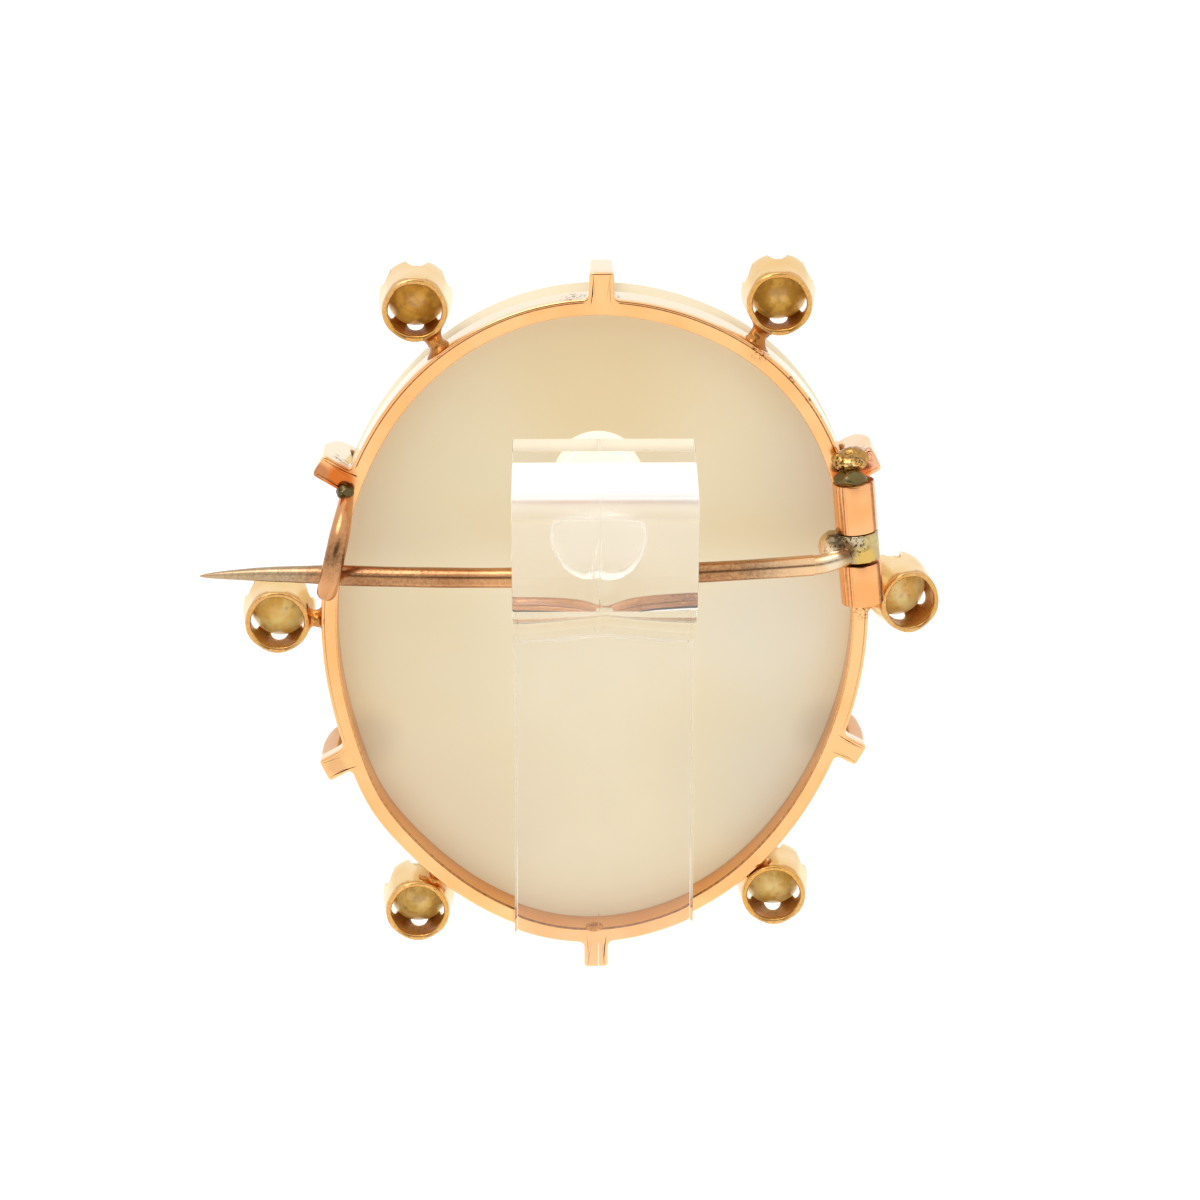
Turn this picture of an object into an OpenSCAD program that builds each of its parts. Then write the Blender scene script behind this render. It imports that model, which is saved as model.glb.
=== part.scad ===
// Cameo brooch with six pearls, hanging by its pin on a clear display stand.
// The brooch stands upright: its open back faces -Y and its carved front faces +Y.
// The origin is the middle of the stand's foot, on the surface that it rests on.

/* [Oval ring] */
// Outer width of the oval gold ring
ring_w = 30.5; // [27:0.1:36]
// Outer height of the oval gold ring
ring_h = 37.6; // [34:0.1:44]
// Width of the flat back face of the ring
ring_face = 0.9; // [0.7:0.05:1.4]
// Depth of the ring from its back face to the cameo's seat
ring_depth = 1.7; // [1.2:0.1:2.6]

/* [Ring claws] */
// Width of each flat claw that holds the cameo
claw_w = 1.35; // [1:0.05:2]
// How far a claw stands out from the ring
claw_reach = 1.5; // [1.3:0.05:2]
// Thickness of a claw's metal where it meets the ring
claw_t = 0.9; // [0.7:0.05:1.2]
// Thickness of a claw's metal over the cameo
claw_tip_t = 0.7; // [0.5:0.05:1]
// How far a claw reaches in over the cameo's front
claw_grip = 1; // [0.6:0.1:1.6]

/* [Cameo] */
// Thickness of the cameo's ground at its edge
cameo_t = 2.2; // [1.8:0.1:3]
// Height of the carved relief above the ground
relief_h = 1.8; // [0.9:0.1:2.4]
// How far the cameo's edge stays inside the ring's outline
cameo_inset = 0.12; // [0.1:0.02:0.5]
// Clearance between the cameo and the metal that holds it
cameo_gap = 0.05; // [0.03:0.01:0.1]

/* [Pearls and collets] */
// Outer radius of a collet at its open back
collet_back_r = 1.85; // [1.75:0.05:2.1]
// Outer radius of a collet where its claws begin to close
collet_mouth_r = 2.1; // [2.05:0.05:2.3]
// Wall of a collet
collet_wall = 0.28; // [0.2:0.02:0.32]
// Length of a collet from its back rim to its claw tips
collet_len = 3.5; // [3.2:0.1:4]
// Depth of the plain band behind the scallops
collet_band = 1.65; // [1.4:0.05:2]
// Number of claws on each collet
collet_claws = 6; // [4:2:8]
// Diameter of a pearl
pearl_d = 3.1; // [2.6:0.1:3.2]
// Distance from a collet's back rim to its pearl's centre
pearl_depth = 3.1; // [2.8:0.1:3.4]
// Diameter of the solder joint between a collet and the ring
joint_d = 1.1; // [0.8:0.1:1.4]

/* [Hinge] */
// Outer diameter of the hinge tube
tube_d = 2.3; // [2:0.1:2.6]
// Diameter of the hinge rivet
rivet_d = 0.9; // [0.7:0.05:1.1]
// Running clearance around the rivet
rivet_gap = 0.03; // [0.02:0.01:0.06]
// Length of the pin's own knuckle
knuckle_mid = 1.6; // [1.4:0.1:2.4]
// Length of the upper fixed knuckle
knuckle_top = 2.7; // [1.8:0.05:2.8]
// Length of the lower fixed knuckle
knuckle_low = 2.5; // [1.6:0.05:2.6]
// Gap between two knuckles
knuckle_gap = 0.08; // [0.05:0.01:0.15]
// Solder between the hinge tube and the ring's back face
hinge_lift = 0.1; // [0.1:0.05:0.4]
// Lean of the hinge from upright, its top towards the pin's point
hinge_lean = 5.2; // [0:0.2:8]
// Radius of the rivet's ball head
rivet_ball_r = 0.85; // [0.7:0.05:0.9]

/* [Pin] */
// Diameter of the pin wire
pin_d = 1.12; // [0.9:0.02:1.2]
// How far the pin wire bows away from the cameo
pin_bow = 1.1; // [1:0.05:1.3]
// Where the wire leaves its bent root: across from the hinge, out from it and down
root_across = 2.5; // [2.2:0.1:3]
root_out = 1.1; // [0.9:0.05:1.4]
root_down = 0.9; // [0.6:0.05:1.2]
// Clearance between the closed pin and the inside of the catch
seat_gap = 0.26; // [0.1:0.02:0.4]
// How far the closed pin lies below the middle of the catch
seat_drop = 0.85; // [0.5:0.05:1]
// Straight wire between the catch and the tapered point
past_catch = 0.9; // [0.5:0.1:2]
// Radius of the rounded shoulder beside the pin's knuckle
lobe_r = 1; // [0.8:0.05:1.1]
// Distance from the hinge to the middle of the shoulder
lobe_out = 1.3; // [1:0.05:1.5]
// Length of the tapered point
point_len = 6.4; // [4:0.1:8]
// Radius of the blunt tip
tip_r = 0.08; // [0.05:0.01:0.15]

/* [Catch] */
// Radius of the catch hook at the middle of its wire
catch_r = 3.15; // [3:0.05:3.6]
// Diameter of the catch wire
catch_d = 1; // [0.8:0.05:1.1]
// Sweep of the catch hook
catch_sweep = 122; // [115:1:150]
// Lean of the catch hook along the ring
catch_lean = 10; // [0:1:16]

/* [Stand] */
// Width of the clear upright
post_w = 10; // [8:0.1:11]
// Thickness of the clear upright
post_t = 2.2; // [1.6:0.1:2.2]
// Width of the groove between the upright and the head
groove_w = 1.95; // [1.8:0.05:2.4]
// Depth of the head at its top, in front of the groove
head_depth = 7.2; // [5:0.1:8]
// Lean of the head's front face, its lower edge towards the upright
head_lean = 9; // [0:1:12]
// Thickness of the web that joins the head to the upright
web_t = 1.4; // [1:0.1:2]
// Height of the upright above the brooch's centre
post_top = 10.95; // [10:0.05:13]
// Thickness of the shelf that the pin lies on
shelf_t = 1.15; // [0.8:0.05:1.6]
// Clear height of the slot above the pin wire
slot_room = 0.45; // [0.4:0.05:0.6]
// Depth of the shelf in front of the upright
shelf_depth = 4.6; // [3:0.1:6]
// Radius of the head's rounded front edge
head_round = 1; // [0.6:0.1:1.6]
// Clearance between the upright and the ring
post_gap = 0.15; // [0.1:0.05:0.3]
// Clearance between the pin wire and the shelf below it
wire_gap = 0.08; // [0.05:0.01:0.15]
// Width of the clear pad behind the cameo
pad_w = 5.2; // [4:0.1:6]
// Height of the clear pad behind the cameo
pad_h = 5.5; // [5:0.1:7.5]
// Side of the square foot
foot_w = 30; // [26:1:40]
// Thickness of the foot
foot_t = 3; // [2:0.1:4]
// Height of the lowest claw above the foot
foot_clear = 2.6; // [1:0.1:6]

/* [Hidden] */

// Half sizes of the oval, and the height of its centre above the surface
half_w = ring_w / 2;
half_h = ring_h / 2;
centre_z = foot_t + foot_clear + claw_reach + half_h;
oval_sides = 120;

// Distance from the oval's centre to its outer edge along a direction
function oval_r(a) = 1 / sqrt(pow(cos(a) / half_w, 2) + pow(sin(a) / half_h, 2));

// A point at a direction and a distance past the outer edge, at depth y
function at_edge(a, out, y) = [(oval_r(a) + out) * cos(a), y, (oval_r(a) + out) * sin(a)];

// Directions of the six ring claws
claw_angles = [32.2, 89.1, 148.4, 209.7, 270, 332.2];

// One row for each collet: direction, distance of its centre past the ring, outward lean, sideways turn
ANGLE = 0;
OUT = 1;
LEAN = 2;
TURN = 3;
collets = [
    [61.7, 3.3, 0, 0],
    [118.4, 2.95, 0, 0],
    [179.4, 2.45, 0, 0],
    [239.6, 2.3, 0, 0],
    [302.1, 1.9, 7, 0],
    [4.3, 2.3, 0, 8]
];

// Depths of the cameo, counted from the ring's back face towards the front
seat_y = ring_depth + cameo_gap;
ground_y = seat_y + cameo_t;

// The hinge: its centre is the middle of the pin's knuckle
hinge_angle = 20;
hinge_in = 0.23;
tube_r = tube_d / 2;
hinge_c = at_edge(hinge_angle, -hinge_in, -tube_r - hinge_lift);
low_end = -knuckle_mid / 2 - knuckle_gap - knuckle_low;
top_end = knuckle_mid / 2 + knuckle_gap + knuckle_top;
bore_r = rivet_d / 2 + rivet_gap;
// How deep the solder under a fixed knuckle bites into the ring
solder_bite = 0.4;
// The lump of solder on the ring between the rivet's ball and the nearest ring claw
lump_angle = 38;
lump_r = claw_reach / 2;
lump_c = at_edge(lump_angle, claw_reach / 3, -hinge_lift);

// The catch: centre of the hook's arc on the ring's back face
catch_angle = 162.6;
catch_c = at_edge(catch_angle, -ring_face / 2, 0);
// The hook's free end is a ball a little thicker than its wire
catch_end_r = catch_d * 0.54;

// The pin wire runs from its root by the hinge to its seat in the catch
pin_r = pin_d / 2;
// A ball a hair thicker than the wire joins two lengths of it
pin_seam_r = pin_r * 1.03;
pin_root = hinge_c + [-root_across, -root_out, -root_down];
pin_seat = catch_c + [0, -catch_r + catch_d / 2 + pin_r + seat_gap, -seat_drop];
pin_joint = hinge_c + [-tube_d * 0.26, -tube_d * 0.22, -tube_d * 0.04];
pin_line = pin_seat - pin_root;
pin_span = norm(pin_line);
bow_r = (pin_span * pin_span / 4 + pin_bow * pin_bow) / (2 * pin_bow);
bow_angle = asin(pin_span / 2 / bow_r);

// The stand: front and back of the upright, and the slot that the pin lies in
post_x = 0.2;
post_back = -post_gap;
post_front = post_back - post_t;
// The head is a thick block in front of the upright, with the groove between them
head_back = post_front - groove_w;
head_front = head_back - head_depth;
// Height of the wire's middle where it crosses the left and the right side of the upright
function wire_z(x) = pin_root.z + (x - pin_root.x) * pin_line.z / pin_line.x;
shelf_top = wire_z(post_x - post_w / 2) - pin_r - wire_gap;
slot_top = wire_z(post_x + post_w / 2) + pin_r + slot_room;
slot_rise = 5;
pad_gap = 0.03;

// Moves a shape from the ring's own frame up onto the stand
module on_stand() translate([0, 0, centre_z]) children();

// A flat outline in X and Z, given depth from y0 to y1
module upright_plate(y0, y1) translate([0, y0, 0]) rotate([90, 0, 0]) mirror([0, 0, 1])
    linear_extrude(y1 - y0) children();

// An oval outline, grown outwards or inwards by one distance
module oval(grow) polygon([for (i = [0:oval_sides - 1]) let (a = 360 * i / oval_sides)
    [(half_w + grow) * cos(a), (half_h + grow) * sin(a)]]);

// The oval ring: a flat band, open in the middle
module ring() upright_plate(0, ring_depth) difference() {
    oval(0);
    oval(-ring_face);
}

// One claw in side view: out from the ring, forward past the cameo's edge and in over its front
module ring_claw(a) {
    top_y = ground_y + cameo_gap;
    rotate([0, -a, 0]) translate([oval_r(a), 0, -claw_w / 2]) linear_extrude(claw_w) polygon([
        [-ring_face / 2, 0],
        [claw_reach, 0],
        [claw_reach, ground_y / 2],
        [claw_reach * 0.75, ground_y],
        [claw_reach * 0.4, top_y + claw_tip_t],
        [-claw_grip * 0.8, top_y + claw_tip_t],
        [-claw_grip, top_y + claw_tip_t / 2],
        [-claw_grip * 0.8, top_y],
        [0.05, top_y],
        [claw_reach - claw_t, ground_y - cameo_t / 3],
        [claw_reach - claw_t - 0.25, claw_t],
        [-ring_face / 2, claw_t]
    ]);
}

// Stands its children at a collet's place, with the collet's axis pointing to the front
module at_collet(c) translate(at_edge(c[ANGLE], c[OUT], 0)) rotate([0, -c[ANGLE], 0])
    rotate([-90, 0, 0]) rotate([c[TURN] * sin(c[ANGLE]), c[LEAN] - c[TURN] * cos(c[ANGLE]), 0]) children();

// One collet: a short flared tube with an open back, cut by scallops into claws that close on a pearl
module collet() {
    bulge = pearl_depth - 0.8;
    difference() {
        rotate_extrude($fn = 64) polygon([
            [collet_back_r - collet_wall, 0],
            [collet_back_r, 0],
            [collet_mouth_r, bulge],
            [collet_mouth_r, pearl_depth - 0.2],
            [collet_back_r, collet_len],
            [collet_back_r - collet_wall, collet_len],
            [collet_mouth_r - collet_wall, pearl_depth - 0.2],
            [collet_mouth_r - collet_wall, bulge]
        ]);
        for (i = [0:collet_claws / 2 - 1]) {
            scallop_r = collet_mouth_r * sin(180 / collet_claws) * 0.66;
            rotate([0, 0, (i + 0.5) * 360 / collet_claws]) translate([0, 0, collet_band + scallop_r]) {
                rotate([0, 90, 0]) cylinder(r = scallop_r, h = 3 * collet_mouth_r, center = true, $fn = 48);
                translate([0, 0, collet_len / 2])
                    cube([3 * collet_mouth_r, 2 * scallop_r, collet_len], center = true);
            }
        }
    }
}

// The solder joint that carries a collet: a short rod from the ring's wall to the collet's back band
module collet_joint(c) {
    start = -ring_face / 2;
    stop = c[OUT] - collet_back_r + collet_wall / 2;
    translate(at_edge(c[ANGLE], start, ring_depth / 2)) rotate([0, 90 - c[ANGLE], 0])
        cylinder(d = joint_d, h = max(stop - start, 0.1), $fn = 32);
}

// Stands its children in the hinge: their Z runs up the rivet
module in_hinge() translate(hinge_c) rotate([0, -hinge_lean, 0]) children();

// One fixed knuckle with the solder that joins it to the ring's face
module fixed_knuckle(z0, length) translate([0, 0, z0]) {
    cylinder(r = tube_r, h = length, $fn = 64);
    translate([-tube_r * 0.7, tube_r * 0.5, 0])
        cube([tube_r * 1.15, tube_r * 0.5 + hinge_lift + solder_bite, length]);
}

// The two fixed knuckles, bored for the rivet, and the lump of solder above them
module hinge() {
    in_hinge() difference() {
        union() {
            fixed_knuckle(low_end, knuckle_low);
            fixed_knuckle(top_end - knuckle_top, knuckle_top);
        }
        translate([0, 0, low_end - 1]) cylinder(r = bore_r, h = top_end - low_end + 2, $fn = 48);
    }
    translate(lump_c) sphere(r = lump_r, $fn = 32);
}

// The catch: a half round hook of wire, soldered to the ring at its top and open below
module catch() translate(catch_c) rotate([0, catch_lean, 0]) {
    rotate([0, 90, 0]) rotate([0, 0, 180]) rotate_extrude(angle = catch_sweep, $fn = 96)
        translate([catch_r, 0]) circle(d = catch_d, $fn = 32);
    rotate([catch_sweep, 0, 0]) translate([0, 0, catch_r]) sphere(r = catch_end_r, $fn = 32);
    translate([0, 0, catch_r]) rotate([-90, 0, 0]) cylinder(d = catch_d, h = ring_depth / 2, $fn = 32);
}

// All the soldered gold: ring, claws, collets, hinge knuckles and catch
module gold_frame() color([0.94, 0.7, 0.42]) on_stand() {
    difference() {
        union() {
            ring();
            for (c = collets) collet_joint(c);
        }
        for (c = collets) at_collet(c)
            translate([0, 0, -0.5]) cylinder(r = collet_back_r - collet_wall / 2, h = collet_len, $fn = 64);
    }
    for (a = claw_angles) ring_claw(a);
    for (c = collets) at_collet(c) collet();
    hinge();
    catch();
}

// A round flower head seen from the front: petals around a raised middle, in steps of height
module flower(r, petals, y0, height) {
    upright_plate(y0, y0 + height * 0.6) for (i = [0:petals - 1]) rotate(360 * (i + 0.5) / petals)
        translate([r * 0.58, 0]) circle(r = r * 0.42, $fn = 40);
    upright_plate(y0, y0 + height * 0.8) circle(r = r * 0.62, $fn = 48);
    upright_plate(y0, y0 + height) circle(r = r * 0.3, $fn = 32);
}

// A pointed leaf: where two circles overlap
module leaf(length, width) {
    leaf_r = (length * length / 4 + width * width / 4) / width;
    intersection() {
        translate([length / 2, leaf_r - width / 2]) circle(r = leaf_r, $fn = 64);
        translate([length / 2, width / 2 - leaf_r]) circle(r = leaf_r, $fn = 64);
    }
}

// The carved cameo: an oval ground with a spray of one large flower, two small ones and leaves
module cameo() color([0.93, 0.87, 0.76]) on_stand() {
    sink = cameo_t / 2;
    upright_plate(seat_y, ground_y) oval(-cameo_inset);
    translate([0, 0, half_h * 0.12]) flower(half_w * 0.44, 5, ground_y - sink, relief_h + sink);
    for (s = [-1, 1]) translate([s * half_w * 0.3, 0, -half_h * 0.44])
        flower(half_w * 0.2, 5, ground_y - sink, relief_h * 0.8 + sink);
    upright_plate(ground_y - sink, ground_y + relief_h * 0.4)
        for (a = [-145, -90, -35, 35, 90, 145]) rotate(a) translate([half_w * 0.26, 0])
            leaf(half_w * 0.42, half_w * 0.2);
}

// The pearls, each round and held a little clear of its claws
module pearl(i) color([0.96, 0.93, 0.86]) on_stand() at_collet(collets[i])
    translate([0, 0, pearl_depth]) sphere(d = pearl_d, $fn = 64);
module pearl_1() pearl(0);
module pearl_2() pearl(1);
module pearl_3() pearl(2);
module pearl_4() pearl(3);
module pearl_5() pearl(4);
module pearl_6() pearl(5);

// A round rod between two points
module rod(p, q, r) {
    d = q - p;
    translate(p) rotate([0, acos(d.z / norm(d)), atan2(d.y, d.x)]) cylinder(r = r, h = norm(d), $fn = 48);
}

// The bowed wire, drawn along X from its root, and its tapered point
module pin_wire() translate(pin_root)
    rotate([0, -asin(pin_line.z / pin_span), atan2(pin_line.y, pin_line.x)]) {
        translate([pin_span / 2, pin_bow - bow_r, 0]) rotate([0, 0, 90 - bow_angle])
            rotate_extrude(angle = 2 * bow_angle, $fn = 128) translate([bow_r, 0]) circle(r = pin_r, $fn = 48);
        translate([pin_span, 0, 0]) rotate([0, 90, -bow_angle]) {
            sphere(r = pin_seam_r, $fn = 48);
            cylinder(r = pin_r, h = past_catch, $fn = 48);
            translate([0, 0, past_catch]) cylinder(r1 = pin_r, r2 = tip_r, h = point_len, $fn = 48);
        }
    }

// The pin: its knuckle with a rounded shoulder, the bent root and the long wire
module pin() color([0.9, 0.68, 0.5]) on_stand() difference() {
    union() {
        in_hinge() translate([0, 0, -knuckle_mid / 2]) {
            cylinder(r = tube_r, h = knuckle_mid, $fn = 64);
            translate([-lobe_out, 0, 0]) cylinder(r = lobe_r, h = knuckle_mid, $fn = 64);
            translate([-lobe_out, -lobe_r, 0]) cube([lobe_out, 2 * lobe_r, knuckle_mid]);
        }
        translate(pin_root) sphere(r = pin_seam_r, $fn = 48);
        rod(pin_root, pin_joint, pin_r);
        pin_wire();
    }
    in_hinge() translate([0, 0, -knuckle_mid]) cylinder(r = bore_r, h = 2 * knuckle_mid, $fn = 48);
}

// The rivet: a wire through all three knuckles with a ball on its upper end
module hinge_rivet() color([0.55, 0.47, 0.25]) on_stand() in_hinge() {
    translate([0, 0, low_end]) cylinder(d = rivet_d, h = top_end - low_end + rivet_ball_r, $fn = 48);
    intersection() {
        translate([0, 0, top_end + rivet_ball_r * 0.6]) sphere(r = rivet_ball_r, $fn = 48);
        translate([0, 0, top_end + knuckle_gap / 2]) cylinder(r = tube_r, h = 2 * rivet_ball_r, $fn = 48);
    }
}

// Side view of the upright, its head and its shelf: Y runs along X here, and Z along Y
module post_side() {
    round_y = head_front + head_round;
    round_z = post_top - head_round;
    face_y = round_y - head_round * cos(head_lean);
    face_z = round_z - head_round * sin(head_lean);
    inside = post_front + post_t / 2;
    translate([post_front, -centre_z + foot_t / 2]) square([post_t, centre_z - foot_t / 2 + post_top]);
    translate([post_front - shelf_depth, shelf_top - shelf_t]) square([shelf_depth + post_t / 2, shelf_t]);
    translate([round_y, round_z]) circle(r = head_round, $fn = 48);
    polygon([[round_y, post_top], [head_back, post_top], [head_back, slot_top + web_t],
        [inside, slot_top + web_t], [inside, slot_top + head_depth * tan(slot_rise)],
        [face_y + (face_z - slot_top) * tan(head_lean), slot_top], [face_y, face_z], [round_y, round_z]]);
}

// The clear stand: a square foot, an upright, a shelf for the pin and a head in front of it
module stand() color([0.85, 0.9, 0.92, 0.5]) {
    translate([-foot_w / 2, -foot_w / 2, 0]) cube([foot_w, foot_w, foot_t]);
    on_stand() translate([post_x - post_w / 2, 0, 0]) rotate([90, 0, 90]) linear_extrude(post_w) post_side();
}

// The soft clear pad between the upright and the cameo's back
module stand_pad() color([0.9, 0.92, 0.93, 0.6]) on_stand()
    translate([post_x, 0, post_top - pad_h / 2]) upright_plate(post_back + pad_gap, seat_y - pad_gap)
        polygon([for (i = [0:47]) [pad_w / 2 * cos(360 * i / 48), pad_h / 2 * sin(360 * i / 48)]]);

gold_frame();
cameo();
pearl_1();
pearl_2();
pearl_3();
pearl_4();
pearl_5();
pearl_6();
pin();
hinge_rivet();
stand();
stand_pad();
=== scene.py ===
# %% [markdown]
# # An old cameo brooch, seen from behind
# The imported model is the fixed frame. It gives every solid at its true size and place,
# so each finer piece below is drawn in the same frame and rides on one of its bodies.

# %% Start from the fixed frame
from math import atan, cos, pi, radians, sin

import bmesh
import bpy
import numpy as np
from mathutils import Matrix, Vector, noise


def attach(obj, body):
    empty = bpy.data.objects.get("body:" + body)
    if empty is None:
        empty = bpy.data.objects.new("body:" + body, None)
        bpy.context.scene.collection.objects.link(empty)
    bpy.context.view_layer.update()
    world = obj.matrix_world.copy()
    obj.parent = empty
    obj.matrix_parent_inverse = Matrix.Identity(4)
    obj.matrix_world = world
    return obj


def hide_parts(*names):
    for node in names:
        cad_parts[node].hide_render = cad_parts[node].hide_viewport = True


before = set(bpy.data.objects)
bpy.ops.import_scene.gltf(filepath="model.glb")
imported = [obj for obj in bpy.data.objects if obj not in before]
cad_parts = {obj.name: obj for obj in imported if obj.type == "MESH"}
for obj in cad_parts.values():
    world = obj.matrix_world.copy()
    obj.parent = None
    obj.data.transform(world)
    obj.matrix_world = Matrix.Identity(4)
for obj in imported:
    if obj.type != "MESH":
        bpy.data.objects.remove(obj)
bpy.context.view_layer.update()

print("solids in the frame:", sorted(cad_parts))

# %% [markdown]
# ## Two ways to give a place
# The brooch is drawn in millimetres round the middle of its oval, and the frame is in
# metres from under the stand's foot. One function carries points from the first to the
# second, so every number below is a size on the real brooch.

# %% Places and sizes
MM = 0.001
OVAL_CENTRE = np.array([0.0, 0.0, 25.9])
HALF_W, HALF_H = 15.25, 18.8


def in_metres(points):
    return (np.asarray(points, float) + OVAL_CENTRE) * MM


def oval_r(angle):
    return 1 / np.hypot(np.cos(angle) / HALF_W, np.sin(angle) / HALF_H)


def on_oval(angle):
    return oval_r(angle) * np.array([np.cos(angle), np.sin(angle)])


def at_edge(degrees, out, depth):
    a = radians(degrees)
    return np.array([(oval_r(a) + out) * cos(a), depth, (oval_r(a) + out) * sin(a)])


def unit(v):
    v = np.asarray(v, float)
    return v / np.linalg.norm(v)


def share_of(value):
    return np.clip(value, 0, 1)


def around(sides):
    """Angles all the way round, the first one only once."""
    return np.linspace(0, 2 * pi, sides, endpoint=False)


def hoop(radius, angles, height):
    """Points round the Z axis."""
    return np.c_[radius * np.cos(angles), radius * np.sin(angles), np.full(len(angles), height)]


print("oval", 2 * HALF_W, "by", 2 * HALF_H, "mm")

# %% [markdown]
# ## Shader sums that read like sums
# A finish is a web of small nodes. One class wraps a socket and lets plus, minus and times
# add the Math nodes. Every other node comes from one method, which sets the node's
# settings first and then its sockets.


# %% A socket that knows arithmetic
class Socket:
    def __init__(self, finish, link):
        self.finish, self.link = finish, link

    def __add__(self, other):
        return self.finish.maths("ADD", self, other)

    def __sub__(self, other):
        return self.finish.maths("SUBTRACT", self, other)

    def __rsub__(self, other):
        return self.finish.maths("SUBTRACT", other, self)

    def __mul__(self, other):
        return self.finish.maths("MULTIPLY", self, other)

    __radd__, __rmul__ = __add__, __mul__


class Finish:
    """The nodes of one material, or of the world when that is its owner."""

    def __init__(self, name, owner=None):
        self.owner = owner or bpy.data.materials.new(name)
        self.owner.use_nodes = True
        self.tree = self.owner.node_tree
        self.tree.nodes.clear()
        self._place = None

    def node(self, kind, settings, sockets, out=0):
        made = self.tree.nodes.new("ShaderNode" + kind)
        for key, value in settings.items():
            if key == "stops":
                for stop, (position, tone) in zip(made.color_ramp.elements, value):
                    stop.position, stop.color = position, tone
            else:
                setattr(made, key, value)
        for key, value in sockets.items():
            if isinstance(value, Socket):
                self.tree.links.new(value.link, made.inputs[key])
            else:
                made.inputs[key].default_value = value
        return Socket(self, made.outputs[out]) if made.outputs else None

    def maths(self, operation, *values):
        return self.node("Math", {"operation": operation}, dict(enumerate(values)))

    def vector(self, operation, first, second, out=0):
        return self.node("VectorMath", {"operation": operation}, {0: first, 1: second}, out)

    def band(self, value, low, high):
        """0 below low, 1 above high and smooth between."""
        settings = {"interpolation_type": "SMOOTHSTEP", "clamp": True}
        sockets = {"Value": value, "From Min": low, "From Max": high}
        return self.node("MapRange", settings, sockets)

    def noise(self, per_mm, detail=3.0, rough=0.55, where=None):
        """Cloudy noise with about per_mm clouds to the millimetre."""
        sockets = {"Scale": per_mm / MM, "Detail": detail, "Roughness": rough}
        sockets["Vector"] = self.place() if where is None else where
        return self.node("TexNoise", {}, sockets)

    def place(self):
        if self._place is None:
            self._place = self.node("TexCoord", {}, {}, "Object")
        return self._place

    def axis(self, number):
        """The place along x, y or z, for 0, 1 or 2."""
        return self.node("SeparateXYZ", {}, {"Vector": self.place()}, number)

    def near(self, spot, inner, outer):
        """1 within inner millimetres of a spot, 0 past outer and smooth between."""
        gap = self.vector("DISTANCE", self.place(), tuple(in_metres(spot)), "Value")
        return 1 - self.band(gap, inner * MM, outer * MM)

    def mark(self):
        """The number that the mesh carries at each point."""
        return self.node("Attribute", {"attribute_name": "dirt_and_shade"}, {}, "Fac")

    def stretched(self, x, y, z):
        """The place, with each axis scaled, for scratches that run one way."""
        return self.vector("MULTIPLY", self.place(), (x, y, z))

    def mixed(self, share, first, second):
        """The first colour, turning into the second as share goes from 0 to 1."""
        first, second = [t if isinstance(t, Socket) else colour(*t) for t in (first, second)]
        return self.node("Mix", {"data_type": "RGBA"}, {0: share, 6: first, 7: second}, 2)

    def bump(self, height, depth_mm, strength=1.0, under=None):
        sockets = {"Height": height, "Distance": depth_mm * MM, "Strength": strength}
        if under is not None:
            sockets["Normal"] = under
        return self.node("Bump", {}, sockets)

    def surface(self, **sockets):
        """Ends the finish with one shader. Words with _ stand for socket names with spaces."""
        named = {key.replace("_", " "): value for key, value in sockets.items()}
        shader = self.node("BsdfPrincipled", {}, named)
        self.node("OutputMaterial", {}, {"Surface": shader})
        return self.owner


def colour(*on_screen):
    """A colour on the usual 0 to 255 scale, as Blender's linear light."""
    linear = [((c / 255 + 0.055) / 1.055) ** 2.4 if c > 10 else c / 3295 for c in on_screen]
    return (*linear, 1.0)


print("shader helpers are ready")

# %% [markdown]
# ## Gold
# The ring is a warm yellow gold, the hinge tubes and the pin a pinker one. Hands polish
# the proud parts of old gold, a dull brown film stays in the low ones, and all of it has
# fine scratches. So each gold gets clouds of film, scratches and small pits.


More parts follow.
